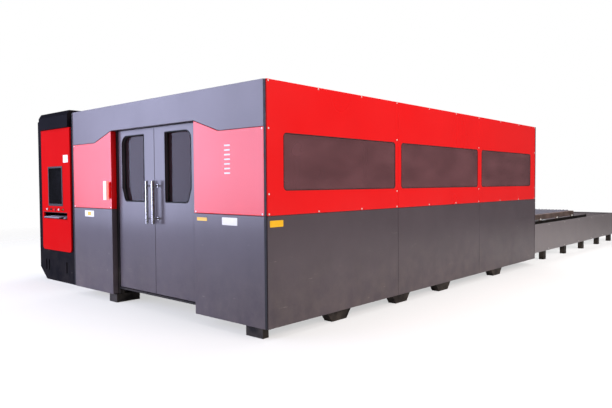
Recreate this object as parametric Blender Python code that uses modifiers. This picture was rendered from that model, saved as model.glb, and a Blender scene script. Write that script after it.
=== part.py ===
"""Fiber laser cutting machine: an enclosed cutting cell with end doors, a gantry, two slatted
pallets on two levels, an exchange table behind the cell and an operator console beside it.

Machine coordinates, in metres: X runs from the door end to the exchange table, Y from the
near long side to the far one, Z up from the floor. An empty moves the machine so that the
middle of its footprint lies at the world origin.
"""
import math

import bmesh
import bpy
from mathutils import Matrix, Vector

# Enclosure
LENGTH = 6.0
WIDTH = 3.365
TOP = 2.195
FLOOR_GAP = 0.095
COLOUR_LINE = 1.052
SECTIONS = 3
SHEET = 0.002
SIDE_DEPTH = 0.025
FRONT_DEPTH = 0.060
SEAM = 0.003
CORNER_GAP = 0.028
CORNER_SETBACK = 0.012
TUBE = 0.060
TOUCH = 0.0003
FRAME_LIFT = 0.005
ROOF_SEAT = 0.010
CROWN_SETBACK = 0.004
CUT_MARGIN = 0.010
WELD = 0.010

# Long-side windows
WINDOW_LOW = 1.265
WINDOW_HIGH = 1.755
WINDOW_RADIUS = 0.035
WINDOW_END_MARGIN = 0.200
WINDOW_SEAM_MARGIN = 0.060
GLASS = 0.006
GLASS_LAP = 0.030

# Door end
OPENING_NEAR = 0.975
OPENING_WIDTH = 1.490
OPENING_TOP = 1.918
SHOULDER_TOP = 1.800
SHOULDER_RUN = 0.360
LEAF_PLANE = 0.064
LEAF_DEPTH = 0.040
LEAF_BOTTOM = 0.183
LEAF_CLEAR = 0.004
HEADER_RISE = 0.010
JAMB_SHOW = 0.045
SILL_HEIGHT = 0.020
LEAF_CLEARANCE = 0.006
PIVOT_INSET = 0.012
PIVOT_RADIUS = 0.007
PIVOT_CLEAR = 0.0005
DOOR_WINDOW_LOW = 1.140
DOOR_WINDOW_HIGH = 1.850
DOOR_WINDOW_INNER = 0.190
DOOR_WINDOW_MARGIN = 0.072
DOOR_WINDOW_RADIUS = 0.090
DOOR_WINDOW_INNER_RADIUS = 0.012
DOOR_WINDOW_CHAMFER_RADIUS = 0.050
DOOR_WINDOW_CHAMFER = (0.055, 0.150)
HANDLE_FROM_GAP = 0.056
HANDLE_LOW = 0.915
HANDLE_HIGH = 1.362
HANDLE_STANDOFF = 0.060
HANDLE_RADIUS = 0.016
POST_RADIUS = 0.008
HANDLE_END = 0.055
HANDLE_FRONT = LEAF_PLANE - HANDLE_STANDOFF - HANDLE_RADIUS
PIN_REACH = 0.026
PIN_ROOT = 0.020
PIVOT_HOLE_DEPTH = 0.020
PANE_LAP = 0.020

# Feet
SKID_XS = (1.00, 2.10, 3.05, 4.60)
SKID_LENGTH = 0.42
SKID_WIDTH = 0.10
SKID_TAPER = 0.10
SKID_RECESS = 0.004
FRONT_FOOT_NEAR = (0.060, 0.270)
FRONT_FOOT_FAR = (0.020, 0.180)
FRONT_FOOT_DEPTH = (0.070, 0.290)
FOOT_NECK = 0.010

# Pallets
PALLET_LENGTH = 4.07
PALLET_WIDTH = 2.05
UPPER_LEVEL = 0.595
LEVEL_STEP = 0.200
BEAM = (0.060, 0.095)
SLAT_COUNT = 21
SLAT_THICK = 0.006
SLAT_DEPTH = 0.085
TOOTH_COUNT = 9
TOOTH_HEIGHT = 0.030
TOOTH_LAND = 0.12
SLAT_SOCKET = 0.010
WHEEL_COUNT = 5
WHEEL_RADIUS = 0.040
WHEEL_WIDTH = 0.034
WHEEL_MARGIN = 0.18
WHEEL_DROP = 0.020
WHEEL_GAP = 0.010
AXLE_RADIUS = 0.012
AXLE_ROOT = 0.006
LUG = (0.060, 0.012, 0.030)
SPINE = (0.040, 0.036)
SPINE_LIFT = 0.010

# Bed, rails and the two pallet levels
BED_CLEAR = 0.0775
BED_WALL = 0.25
BED_IN = (WIDTH - PALLET_WIDTH) / 2 - BED_CLEAR
BED_OUT = BED_IN - BED_WALL
BED_START = 0.35
BED_END_GAP = 0.25
BED_END = LENGTH - BED_END_GAP
BED_LOW = 0.12
BED_TOP = 0.80
BED_CROSS = (0.12, 0.13)
BED_CROSS_COUNT = 4
BED_CROSS_MARGIN = 0.10
BED_PAD = 0.22
RAIL_WIDTH = 0.034
RAIL_HEIGHT = 0.030
RAIL_INSET = 0.10
RAIL_MARGIN = 0.10
RAIL_WAIST = 0.62
RAIL_STEPS = (0.0, 0.38, 0.55, 0.72, 1.0)
RACK = (0.025, 0.025)
LEDGE_WIDTH = 0.070
LEDGE_THICK = 0.020
LEDGE_START = 0.75
PALLET_END_GAP = 0.75
PALLET_LAP = 0.04
PALLET_IN = BED_END - PALLET_END_GAP - PALLET_LENGTH
PALLET_OUT = LENGTH - PALLET_LAP
REAR_OPENING_RISE = 0.40
REAR_OPENING_MARGIN = 0.030

# Gantry, carriage and head
GANTRY_X = 2.90
GANTRY_BOX = (0.26, 0.26)
GANTRY_LIFT = 0.12
GANTRY_BEVEL = 0.010
TRUCK = (0.50, 0.20)
TRUCK_LAP = 0.020
GUIDE = (0.024, 0.020)
GUIDE_SPACING = 0.17
GUIDE_MARGIN = 0.12
CARRIAGE_SIZE = (0.045, 0.30, 0.42)
CARRIAGE_LIFT = 0.010
HEAD_RAIL = (0.018, 0.016)
HEAD_RAIL_SPACING = 0.090
HEAD_RAIL_ENDS = (0.020, 0.050)
SCREW_COVER = (0.030, 0.090, 0.050)
LIFT_MOTOR_RADIUS = 0.038
LIFT_MOTOR_HEIGHT = 0.110
SLIDE_SIZE = (0.05, 0.14, 0.34)
SLIDE_LIFT = 0.030
HEAD_OFFSET = 0.045
HEAD_TRAVEL = 0.12
NOZZLE_CLEAR = HEAD_TRAVEL + 0.020
BARREL_FIBRE = 0.016
BARREL_TOP = 0.034
BARREL_BODY = 0.044
BARREL_FOCUS = 0.030
BARREL_NECK = 0.022
NOZZLE_TOP = 0.012
NOZZLE_TIP = 0.004
BARREL_PROFILE = (
    (0.0, 0.520), (BARREL_FIBRE, 0.520), (BARREL_FIBRE, 0.460), (BARREL_TOP, 0.450),
    (BARREL_TOP, 0.310), (BARREL_BODY, 0.300), (BARREL_BODY, 0.130), (BARREL_FOCUS, 0.115),
    (BARREL_FOCUS, 0.055), (BARREL_NECK, 0.035), (NOZZLE_TOP, 0.025), (NOZZLE_TIP, 0.0),
    (0.0, 0.0),
)
HEAD_BLOCK = (0.030, 0.104)
HEAD_BLOCK_Z = (0.170, 0.280)
GAS_PORT = (0.008, 0.055, 0.085)
MOTOR_RADIUS = 0.055
MOTOR_INSET = 0.070
MOTOR_GAP = 0.015
MOTOR_SPAN = (-0.020, 0.220)
BRACKET_SPAN = (0.030, 0.090)
SOFT_EDGE = 0.006

# Exchange table
TABLE_GAP = 0.05
TABLE_SPARE = 0.88
TABLE_START = LENGTH + TABLE_GAP
TABLE_LENGTH = PALLET_LENGTH + TABLE_SPARE
TABLE_END = TABLE_START + TABLE_LENGTH
TABLE_INSET = 0.085
TABLE_TOP = 0.62
TABLE_LOW = 0.15
TABLE_BEAM = (0.080, 0.120)
TABLE_BEAM_DROP = 0.020
LEG_COUNT = 4
FIRST_LEG_MARGIN = 0.69
LEG_START = TABLE_START + FIRST_LEG_MARGIN
LEG_PITCH = 1.05
LAST_LEG_MARGIN = 0.20
LEG = 0.110
CROSS_TUBE = (0.080, 0.090)
CROSS_LOW = 0.180
RAIL_PLATE = 0.020
RAIL_PLATE_RISE = (0.040, 0.050)
RAIL_END_GAP = 0.38
SHAFT_GAP = 0.58
RAIL_END = TABLE_END - RAIL_END_GAP
SHAFT_X = TABLE_END - SHAFT_GAP
SHAFT_RADIUS = 0.020
SHAFT_OVERHANG = 0.012
SPROCKET_RADIUS = 0.060
SPROCKET_TEETH = 15
SPROCKET_TOOTH = 0.012
SPROCKET_CREST = ((0.15, 0.0), (0.55, 1.0), (0.75, 1.0))
SPROCKET_WIDTH = 0.014
SPROCKET_INSET = 0.16
HUB_RADIUS = 0.034
HUB_REACH = 0.012
BORE_DEPTH = 0.020
GEARBOX = (0.150, 0.100)
DRIVE_MOTOR_RADIUS = 0.060
DRIVE_MOTOR_LENGTH = 0.240

# Console
CONSOLE_GAP = 0.315
CONSOLE_WIDTH = 1.25
CONSOLE_NEAR = WIDTH + CONSOLE_GAP
CONSOLE_Y = (CONSOLE_NEAR, CONSOLE_NEAR + CONSOLE_WIDTH)
CONSOLE_X = 0.272
CONSOLE_DEPTH = 0.60
CONSOLE_TOP = 2.215
CONSOLE_WALL = 0.020
CONSOLE_CHAMFER = (0.20, 0.16)
FASCIA_INSET = 0.27
FASCIA_MARGIN = 0.14
FASCIA_WIDTH = CONSOLE_WIDTH - FASCIA_INSET - FASCIA_MARGIN
FASCIA_NEAR = CONSOLE_NEAR + FASCIA_INSET
FASCIA_Y = (FASCIA_NEAR, FASCIA_NEAR + FASCIA_WIDTH)
FASCIA_LOW = 0.425
FASCIA_DROP = 0.135
FASCIA_Z = (FASCIA_LOW, CONSOLE_TOP - FASCIA_DROP)
FASCIA_DEPTH = 0.020
FASCIA_RADIUS = 0.055
FASCIA_FRONT = CONSOLE_X - TOUCH - FASCIA_DEPTH
SCREEN_INSET = 0.215
SCREEN_MARGIN = 0.200
SCREEN_WIDTH = FASCIA_WIDTH - SCREEN_INSET - SCREEN_MARGIN
SCREEN_Y = (FASCIA_NEAR + SCREEN_INSET, FASCIA_NEAR + SCREEN_INSET + SCREEN_WIDTH)
SCREEN_Z = (1.035, 1.575)
SCREEN_PROUD = 0.004
SCREEN_CLEAR = 0.001
SCREEN_EDGE = 0.003
SLOT_INSET = 0.10
SLOT_MARGIN = 0.05
SLOT_WIDTH = FASCIA_WIDTH - SLOT_INSET - SLOT_MARGIN
SLOT_Y = (FASCIA_NEAR + SLOT_INSET, FASCIA_NEAR + SLOT_INSET + SLOT_WIDTH)
SLOT_Z = (0.862, 0.945)
RUNNER = (0.024, 0.032)
MOUNTING_PLATE = (0.42, 0.010)
MOUNTING_PLATE_MARGIN = 0.30
MOUNTING_PLATE_LOW = 1.11
SHELF_THICK = 0.006
SHELF_DEPTH = 0.34
SHELF_PROUD = 0.014
SHELF_CLEAR = 0.0015
SHELF_LIP = 0.040
MOUSE_ROOM = 0.242
KEYBOARD = (0.146, SLOT_WIDTH - MOUSE_ROOM)
KEYBOARD_HEIGHTS = (0.010, 0.014, 0.026)
KEYBOARD_INSET = 0.004
KEYBOARD_EDGE = 0.012
MOUSE = (0.055, 0.032, 0.034)
MOUSE_PLACE = (0.062, 0.085)
BUTTON_COUNT = 5
BUTTON_INSET = 0.17
BUTTON_MARGIN = 0.21
BUTTON_FIRST = FASCIA_Y[1] - BUTTON_INSET
BUTTON_PITCH = (FASCIA_WIDTH - BUTTON_INSET - BUTTON_MARGIN) / (BUTTON_COUNT - 1)
BUTTON_Z = 0.988
BUTTON_STEM = 0.0107
BUTTON_HOLE = BUTTON_STEM + PIVOT_CLEAR
STEM_LENGTH = 0.012
CAP_GAP = 0.006
PUSH_CAP = (0.015, 0.009, 0.002)
STOP_CAP = (0.020, 0.014, 0.005)
SELECTOR_BASE = (0.016, 0.006)
SELECTOR_BAR = (0.016, 0.008, 0.026)
KEY_BASE = (0.014, 0.008)
KEY_BLADE = (0.028, 0.003, 0.018)
VENT_INSET = 0.45
VENT_MARGINS = (0.28, 0.19)
VENT_YS = (CONSOLE_Y[0] + VENT_INSET, CONSOLE_Y[1] - VENT_MARGINS[0],
           CONSOLE_Y[1] - VENT_MARGINS[1])
VENT_Z = (0.13, 0.28)
VENT_WIDTH = 0.030
HOOD_RISE = 0.090
HOOD_TOP = CONSOLE_TOP + HOOD_RISE
HOOD_PROUD = 0.047
HOOD_DEPTH = 0.39
HOOD_BEVEL = (0.036, 0.060)
DUCT_X = (0.45, 0.62)
DUCT_Z = (0.22, 0.34)
REAR_DOOR_MARGIN = 0.010
REAR_DOOR_THICK = 0.020
REAR_HINGE_ZS = (0.45, 1.15, 1.85)
REAR_HINGE = (0.008, 0.100)
SWING_HANDLE = (0.030, 0.032)
SWING_HANDLE_Z = (1.02, 1.20)
SWING_HANDLE_MARGIN = 0.09

SMOOTH_ANGLE = math.radians(35)

# Finishes: sRGB colour, roughness, metallic
FINISHES = {
    "signal_red": ((222, 8, 18), 0.28, 0.0),
    "slate_grey": ((92, 90, 106), 0.42, 0.0),
    "frame_black": ((26, 26, 29), 0.55, 0.0),
    "console_dark": ((34, 33, 42), 0.45, 0.0),
    "tinted_glass": ((74, 52, 50), 0.08, 0.0),
    "clear_glass": ((150, 150, 160), 0.06, 0.0),
    "stainless": ((190, 190, 188), 0.25, 1.0),
    "machined_steel": ((150, 152, 156), 0.30, 1.0),
    "mill_steel": ((104, 104, 108), 0.50, 0.9),
    "table_grey": ((140, 135, 138), 0.42, 0.0),
    "bed_grey": ((88, 90, 96), 0.50, 0.0),
    "gantry_white": ((200, 202, 206), 0.38, 0.0),
    "screen_black": ((12, 12, 15), 0.12, 0.0),
    "key_grey": ((120, 122, 130), 0.50, 0.0),
    "cap_white": ((228, 226, 224), 0.35, 0.0),
    "cap_black": ((22, 22, 24), 0.40, 0.0),
    "cap_red": ((205, 14, 18), 0.32, 0.0),
    "key_brass": ((196, 164, 84), 0.30, 1.0),
}


def clear_scene():
    """Remove what the file opened with."""
    for obj in list(bpy.data.objects):
        bpy.data.objects.remove(obj, do_unlink=True)


def linear(channel):
    """Turn an sRGB channel from 0 to 255 into a linear value."""
    value = channel / 255.0
    if value <= 0.04045:
        return value / 12.92
    return ((value + 0.055) / 1.055) ** 2.4


def material(name, finish):
    """Make a Principled material from a row of FINISHES."""
    colour, roughness, metallic = FINISHES[finish]
    made = bpy.data.materials.new(name)
    made.use_nodes = True
    shader = made.node_tree.nodes["Principled BSDF"]
    rgba = [linear(channel) for channel in colour] + [1.0]
    shader.inputs["Base Color"].default_value = rgba
    shader.inputs["Roughness"].default_value = roughness
    shader.inputs["Metallic"].default_value = metallic
    made.diffuse_color = rgba
    return made


def temporary(data, location=(0.0, 0.0, 0.0)):
    """Link a mesh or curve as a working object that a later step uses up."""
    obj = bpy.data.objects.new("work", data)
    bpy.context.scene.collection.objects.link(obj)
    obj.location = location
    return obj


def baked(obj):
    """Replace an object by its evaluated mesh in machine coordinates, welded and outward."""
    bpy.context.view_layer.update()
    depsgraph = bpy.context.evaluated_depsgraph_get()
    mesh = bpy.data.meshes.new_from_object(obj.evaluated_get(depsgraph), depsgraph=depsgraph)
    mesh.transform(obj.matrix_world)
    bpy.data.objects.remove(obj, do_unlink=True)
    work = bmesh.new()
    work.from_mesh(mesh)
    bmesh.ops.remove_doubles(work, verts=work.verts, dist=0.00001)
    bmesh.ops.recalc_face_normals(work, faces=work.faces)
    work.to_mesh(mesh)
    work.free()
    return temporary(mesh)


def box(low, high):
    """A box between two corners."""
    work = bmesh.new()
    bmesh.ops.create_cube(work, size=1.0)
    size = Vector(high) - Vector(low)
    middle = (Vector(high) + Vector(low)) / 2
    bmesh.ops.scale(work, vec=size, verts=work.verts)
    bmesh.ops.translate(work, vec=middle, verts=work.verts)
    mesh = bpy.data.meshes.new("box")
    work.to_mesh(mesh)
    work.free()
    return temporary(mesh)


def rod(start, end, radius, sides=16):
    """A cylinder between two points."""
    start = Vector(start)
    end = Vector(end)
    axis = end - start
    turn = Vector((0, 0, 1)).rotation_difference(axis).to_matrix().to_4x4()
    place = Matrix.Translation((start + end) / 2) @ turn
    work = bmesh.new()
    bmesh.ops.create_cone(
        work, cap_ends=True, segments=sides, radius1=radius, radius2=radius,
        depth=axis.length, matrix=place,
    )
    mesh = bpy.data.meshes.new("rod")
    work.to_mesh(mesh)
    work.free()
    return temporary(mesh)


PLANES = {
    "end": Matrix(((0, 0, 1), (1, 0, 0), (0, 1, 0))),
    "side": Matrix(((1, 0, 0), (0, 0, -1), (0, 1, 0))),
    "flat": Matrix.Identity(3),
}
NORMALS = {"end": Vector((1, 0, 0)), "side": Vector((0, 1, 0)), "flat": Vector((0, 0, 1))}


def prism(outlines, start, end, plane):
    """Extrude a flat outline, with any further outlines as holes, from start to end.

    The plane "end" takes (Y, Z) points, "side" (X, Z) points and "flat" (X, Y) points.
    """
    curve = bpy.data.curves.new("prism", "CURVE")
    curve.dimensions = "2D"
    curve.fill_mode = "BOTH"
    curve.extrude = (end - start) / 2
    for outline in outlines:
        spline = curve.splines.new("POLY")
        spline.points.add(len(outline) - 1)
        for point, (u, v) in zip(spline.points, outline):
            point.co = (u, v, 0.0, 1.0)
        spline.use_cyclic_u = True
    obj = temporary(curve)
    shift = NORMALS[plane] * (start + end) / 2
    obj.matrix_world = Matrix.Translation(shift) @ PLANES[plane].to_4x4()
    return baked(obj)


def turned(profile, base, direction, sides=20):
    """Turn a (radius, height) profile, listed from top to bottom, about an axis."""
    mesh = bpy.data.meshes.new("profile")
    points = [(radius, 0.0, height) for radius, height in profile]
    edges = [(index, index + 1) for index in range(len(points) - 1)]
    mesh.from_pydata(points, edges, [])
    obj = temporary(mesh)
    turn = Vector((0, 0, 1)).rotation_difference(Vector(direction)).to_matrix().to_4x4()
    obj.matrix_world = Matrix.Translation(base) @ turn
    screw = obj.modifiers.new("turn", "SCREW")
    screw.steps = sides
    screw.render_steps = sides
    screw.use_merge_vertices = True
    screw.merge_threshold = 0.00001
    return baked(obj)


def repeated(obj, count, offset):
    """Repeat a working object along a constant offset."""
    array = obj.modifiers.new("row", "ARRAY")
    array.use_relative_offset = False
    array.use_constant_offset = True
    array.constant_offset_displace = offset
    array.count = count
    return baked(obj)


def combined(base, tools, operation):
    """Join the tools to a body with UNION, or cut them out of it with DIFFERENCE."""
    for tool in tools:
        cut = base.modifiers.new(operation.lower(), "BOOLEAN")
        cut.operation = operation
        cut.solver = "EXACT"
        cut.object = tool
        tool.display_type = "WIRE"
        tool.hide_render = True
    result = baked(base)
    for tool in tools:
        bpy.data.objects.remove(tool, do_unlink=True)
    return result


def joined(solids):
    """Boolean union of a list of working solids."""
    return combined(solids[0], solids[1:], "UNION")


def cut(base, tools):
    """Boolean difference of a list of tools from a solid."""
    return combined(base, tools, "DIFFERENCE")


def rectangle(u_low, u_high, v_low, v_high):
    """Four corners, counter-clockwise."""
    return [(u_low, v_low), (u_high, v_low), (u_high, v_high), (u_low, v_high)]


def rounded(outline, radii, steps=5):
    """Round an outline's corners, one radius for each corner."""
    points = []
    count = len(outline)
    for index, radius in enumerate(radii):
        corner = Vector(outline[index])
        if radius <= 0:
            points.append(tuple(corner))
            continue
        back = (Vector(outline[index - 1]) - corner).normalized()
        ahead = (Vector(outline[(index + 1) % count]) - corner).normalized()
        half = back.angle(ahead) / 2
        reach = radius / math.tan(half)
        centre = corner + (back + ahead).normalized() * (radius / math.sin(half))
        first = corner + back * reach - centre
        last = corner + ahead * reach - centre
        sweep = first.angle_signed(last)
        for step in range(steps + 1):
            spin = Matrix.Rotation(-sweep * step / steps, 2)
            points.append(tuple(centre + spin @ first))
    return points


def inset(outline, distance):
    """Move each edge of a counter-clockwise outline inwards."""
    points = []
    count = len(outline)
    for index in range(count):
        corner = Vector(outline[index])
        back = (corner - Vector(outline[index - 1])).normalized()
        ahead = (Vector(outline[(index + 1) % count]) - corner).normalized()
        inward_back = Vector((-back.y, back.x))
        inward_ahead = Vector((-ahead.y, ahead.x))
        middle = (inward_back + inward_ahead).normalized()
        points.append(tuple(corner + middle * distance / middle.dot(inward_back)))
    return points


def tray(outline, face, depth, plane, holes=()):
    """A sheet panel with its edges folded back from the visible face.

    depth is signed: the folded edges run from the face towards face + depth.
    """
    sign = math.copysign(1.0, depth)
    low, high = sorted((face, face + depth))
    body = prism([outline], low, high, plane)
    inner_low, inner_high = sorted((face + sign * SHEET, face + depth + sign * SHEET))
    tools = [prism([inset(outline, SHEET)], inner_low, inner_high, plane)]
    for hole in holes:
        tools.append(prism([hole], low - SHEET, high + SHEET, plane))
    return cut(body, tools)


def finish(obj, name, look, origin=None, smooth=False):
    """Name a finished body, give it its material and set it on its own origin."""
    mesh = obj.data
    if origin is None:
        corners = [Vector(corner) for corner in obj.bound_box]
        low = Vector([min(corner[axis] for corner in corners) for axis in range(3)])
        high = Vector([max(corner[axis] for corner in corners) for axis in range(3)])
        origin = ((low.x + high.x) / 2, (low.y + high.y) / 2, low.z)
    mesh.transform(Matrix.Translation(-Vector(origin)))
    mesh.materials.clear()
    mesh.materials.append(material(name + "_finish", look))
    if smooth:
        mesh.shade_smooth()
        mesh.set_sharp_from_angle(angle=SMOOTH_ANGLE)
    obj.name = name
    mesh.name = name
    obj.location = origin
    obj.parent = MACHINE
    bpy.context.scene.collection.objects.unlink(obj)
    PARTS.objects.link(obj)
    return obj


def softened(obj, width, segments=1):
    """Break the edges of a body with a bevel."""
    bevel = obj.modifiers.new("edges", "BEVEL")
    bevel.width = width
    bevel.segments = segments
    bevel.limit_method = "ANGLE"
    return baked(obj)


def mirrored_y(y):
    """The place on the far side of the machine that matches one on the near side."""
    return WIDTH - y


def sided_box(side, x_span, y_span, z_span):
    """A box given for the near side, placed on the near or the far side."""
    y_low, y_high = y_span
    if side == "far":
        y_low, y_high = mirrored_y(y_high), mirrored_y(y_low)
    return box((x_span[0], y_low, z_span[0]), (x_span[1], y_high, z_span[1]))


def section_spans():
    """The start and end of each long-side panel along X."""
    start = CORNER_SETBACK
    step = (LENGTH - SIDE_DEPTH - SEAM - start) / SECTIONS
    return [(start + step * i, start + step * (i + 1) - SEAM) for i in range(SECTIONS)]


def window_span(index, span):
    """The start and end of the window in one long-side panel."""
    left = WINDOW_END_MARGIN if index == 0 else WINDOW_SEAM_MARGIN
    right = WINDOW_END_MARGIN if index == SECTIONS - 1 else WINDOW_SEAM_MARGIN
    return span[0] + left, span[1] - right


def side_panels():
    """Red upper and grey lower panels on both long sides, with glass on the near one."""
    for index, span in enumerate(section_spans()):
        number = str(index + 1)
        upper = rectangle(span[0], span[1], COLOUR_LINE, TOP)
        lower = rectangle(span[0], span[1], FLOOR_GAP, COLOUR_LINE - SEAM)
        glass = window_span(index, span)
        hole = rectangle(glass[0], glass[1], WINDOW_LOW, WINDOW_HIGH)
        hole = rounded(hole, [WINDOW_RADIUS] * 4)
        finish(tray(upper, 0.0, SIDE_DEPTH, "side", [hole]),
               "panel_upper_near_" + number, "signal_red")
        finish(tray(lower, 0.0, SIDE_DEPTH, "side"), "panel_lower_near_" + number, "slate_grey")
        finish(tray(upper, WIDTH, -SIDE_DEPTH, "side"),
               "panel_upper_far_" + number, "signal_red")
        finish(tray(lower, WIDTH, -SIDE_DEPTH, "side"),
               "panel_lower_far_" + number, "slate_grey")
        pane = rectangle(glass[0] - GLASS_LAP, glass[1] + GLASS_LAP,
                         WINDOW_LOW - GLASS_LAP, WINDOW_HIGH + GLASS_LAP)
        back = SHEET + TOUCH
        finish(prism([pane], back, back + GLASS, "side"), "window_near_" + number,
               "tinted_glass")


def bays(posts, rails):
    """Rectangles left open between tubes, from the low edges of the posts and the rails."""
    holes = []
    for left, right in zip(posts, posts[1:]):
        for below, above in zip(rails, rails[1:]):
            holes.append(rectangle(left + TUBE, right, below + TUBE, above))
    return holes


def lattice(outer, holes, low, high, plane):
    """A flat welded frame: an outline with its bays cut through."""
    tools = [prism([hole], low - SHEET, high + SHEET, plane) for hole in holes]
    return cut(prism([outer], low, high, plane), tools)


def frame_side(side):
    """Tube ladder that carries the panels of one long side, with its floor skids."""
    seat = SIDE_DEPTH + TOUCH
    depth = (seat, seat + TUBE)
    skid_depth = (seat + SKID_RECESS, seat + SKID_WIDTH)
    if side == "far":
        depth = (mirrored_y(depth[1]), mirrored_y(depth[0]))
        skid_depth = (mirrored_y(skid_depth[1]), mirrored_y(skid_depth[0]))
    start = FRONT_DEPTH + TUBE + 2 * TOUCH
    end = LENGTH - SIDE_DEPTH - TOUCH
    seams = [span[1] + SEAM / 2 for span in section_spans()[:-1]]
    posts = [start] + [seam - TUBE / 2 for seam in seams] + [end - TUBE]
    rails = [FLOOR_GAP + FRAME_LIFT, COLOUR_LINE - TUBE / 2,
             TOP - SIDE_DEPTH - TUBE - ROOF_SEAT]
    outer = rectangle(start, end, rails[0], rails[-1] + TUBE)
    solids = [lattice(outer, bays(posts, rails), depth[0], depth[1], "side")]
    for x in SKID_XS:
        half = SKID_LENGTH / 2
        outline = [(x - half + SKID_TAPER, 0.0), (x + half - SKID_TAPER, 0.0),
                   (x + half, rails[0] + TUBE / 2), (x - half, rails[0] + TUBE / 2)]
        solids.append(prism([outline], skid_depth[0], skid_depth[1], "side"))
    finish(joined(solids), "frame_side_" + side, "frame_black")


def leaf_edges():
    """The outer edge of the near and the far door leaf along Y."""
    near = OPENING_NEAR + JAMB_SHOW + LEAF_CLEAR * 2
    far = OPENING_NEAR + OPENING_WIDTH - JAMB_SHOW - LEAF_CLEAR * 2
    return near, far


def leaf_top():
    """Top edge of the door leaves, which pass under the lintel as they swing out."""
    return OPENING_TOP - LEAF_CLEAR


def hinge_point(side):
    """Axis of a door leaf's pivots."""
    near, far = leaf_edges()
    x = LEAF_PLANE + PIVOT_INSET
    return (x, near + PIVOT_INSET) if side == "near" else (x, far - PIVOT_INSET)


def door_frame():
    """Portal behind the door-end panels: posts, jambs, header, sill and two feet."""
    low, high = FRONT_DEPTH + TOUCH, FRONT_DEPTH + TOUCH + TUBE
    corner = CORNER_GAP + SHEET
    bottom = FLOOR_GAP + FRAME_LIFT
    top = TOP - SIDE_DEPTH - ROOF_SEAT
    jamb = OPENING_NEAR + JAMB_SHOW
    far_jamb = OPENING_NEAR + OPENING_WIDTH - JAMB_SHOW
    header = OPENING_TOP + HEADER_RISE
    sill = LEAF_BOTTOM - LEAF_CLEARANCE
    outer = [(corner, bottom), (jamb, bottom), (jamb, sill - SILL_HEIGHT),
             (far_jamb, sill - SILL_HEIGHT), (far_jamb, bottom), (mirrored_y(corner), bottom),
             (mirrored_y(corner), top), (corner, top)]
    posts = [corner, jamb - TUBE, far_jamb, mirrored_y(corner) - TUBE]
    holes = [rectangle(jamb, far_jamb, sill, header),
             rectangle(posts[0] + TUBE, posts[1], bottom + TUBE, header),
             rectangle(posts[2] + TUBE, posts[3], bottom + TUBE, header)]
    holes += bays(posts, [header, top - TUBE])
    portal = lattice(outer, holes, low, high, "end")
    feet = []
    spans = ((corner, FRONT_FOOT_NEAR), (far_jamb, FRONT_FOOT_FAR))
    for (start, span), depth in zip(spans, FRONT_FOOT_DEPTH):
        y_low, y_high = start + span[0], start + span[1]
        feet.append(box((low - TUBE / 2, y_low, 0.0),
                        (low - TUBE / 2 + depth, y_high, FLOOR_GAP - SEAM)))
        feet.append(box((low + FOOT_NECK / 2, y_low + FOOT_NECK, FLOOR_GAP - SEAM - FOOT_NECK),
                        (high - FOOT_NECK * 2, y_high - FOOT_NECK, bottom + TUBE / 3)))
    body = joined([portal] + feet)
    holes = []
    for side in ("near", "far"):
        x, y = hinge_point(side)
        radius = PIVOT_RADIUS + PIVOT_CLEAR
        holes.append(rod((x, y, header - CUT_MARGIN), (x, y, header + PIVOT_HOLE_DEPTH), radius))
        holes.append(rod((x, y, sill - PIVOT_HOLE_DEPTH / 2), (x, y, sill + CUT_MARGIN), radius))
    finish(cut(body, holes), "door_frame", "frame_black")


def lintel_outline():
    """Fascia above the doors, whose lower edge steps up from each side to the opening."""
    left = CORNER_GAP
    right = WIDTH - CORNER_GAP
    near = OPENING_NEAR
    far = OPENING_NEAR + OPENING_WIDTH
    return [(left, SHOULDER_TOP + SEAM), (near - SHOULDER_RUN, SHOULDER_TOP + SEAM),
            (near, OPENING_TOP), (far, OPENING_TOP),
            (far + SHOULDER_RUN, SHOULDER_TOP + SEAM), (right, SHOULDER_TOP + SEAM),
            (right, TOP), (left, TOP)]


def cheek_outline(side):
    """Red panel beside the doors: its top rises along the lintel's sloped step."""
    near = OPENING_NEAR
    peak = OPENING_TOP - SEAM
    points = [(CORNER_GAP, COLOUR_LINE), (near, COLOUR_LINE), (near, peak),
              (near - SHOULDER_RUN, SHOULDER_TOP), (CORNER_GAP, SHOULDER_TOP)]
    if side == "near":
        return points
    far = OPENING_NEAR + OPENING_WIDTH
    points = [(far, COLOUR_LINE), (WIDTH - CORNER_GAP, COLOUR_LINE),
              (WIDTH - CORNER_GAP, SHOULDER_TOP), (far + SHOULDER_RUN, SHOULDER_TOP),
              (far, peak)]
    return points


def door_end_panels():
    """Lintel fascia, red cheeks and grey lower panels around the doors."""
    finish(tray(lintel_outline(), 0.0, FRONT_DEPTH, "end"), "lintel_fascia", "slate_grey")
    far = OPENING_NEAR + OPENING_WIDTH
    spans = {"near": (CORNER_GAP, OPENING_NEAR), "far": (far, WIDTH - CORNER_GAP)}
    for side, span in spans.items():
        finish(tray(cheek_outline(side), 0.0, FRONT_DEPTH, "end"),
               "front_red_panel_" + side, "signal_red")
        lower = rectangle(span[0], span[1], FLOOR_GAP, COLOUR_LINE - SEAM)
        finish(tray(lower, 0.0, FRONT_DEPTH, "end"), "front_grey_panel_" + side, "slate_grey")


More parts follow.
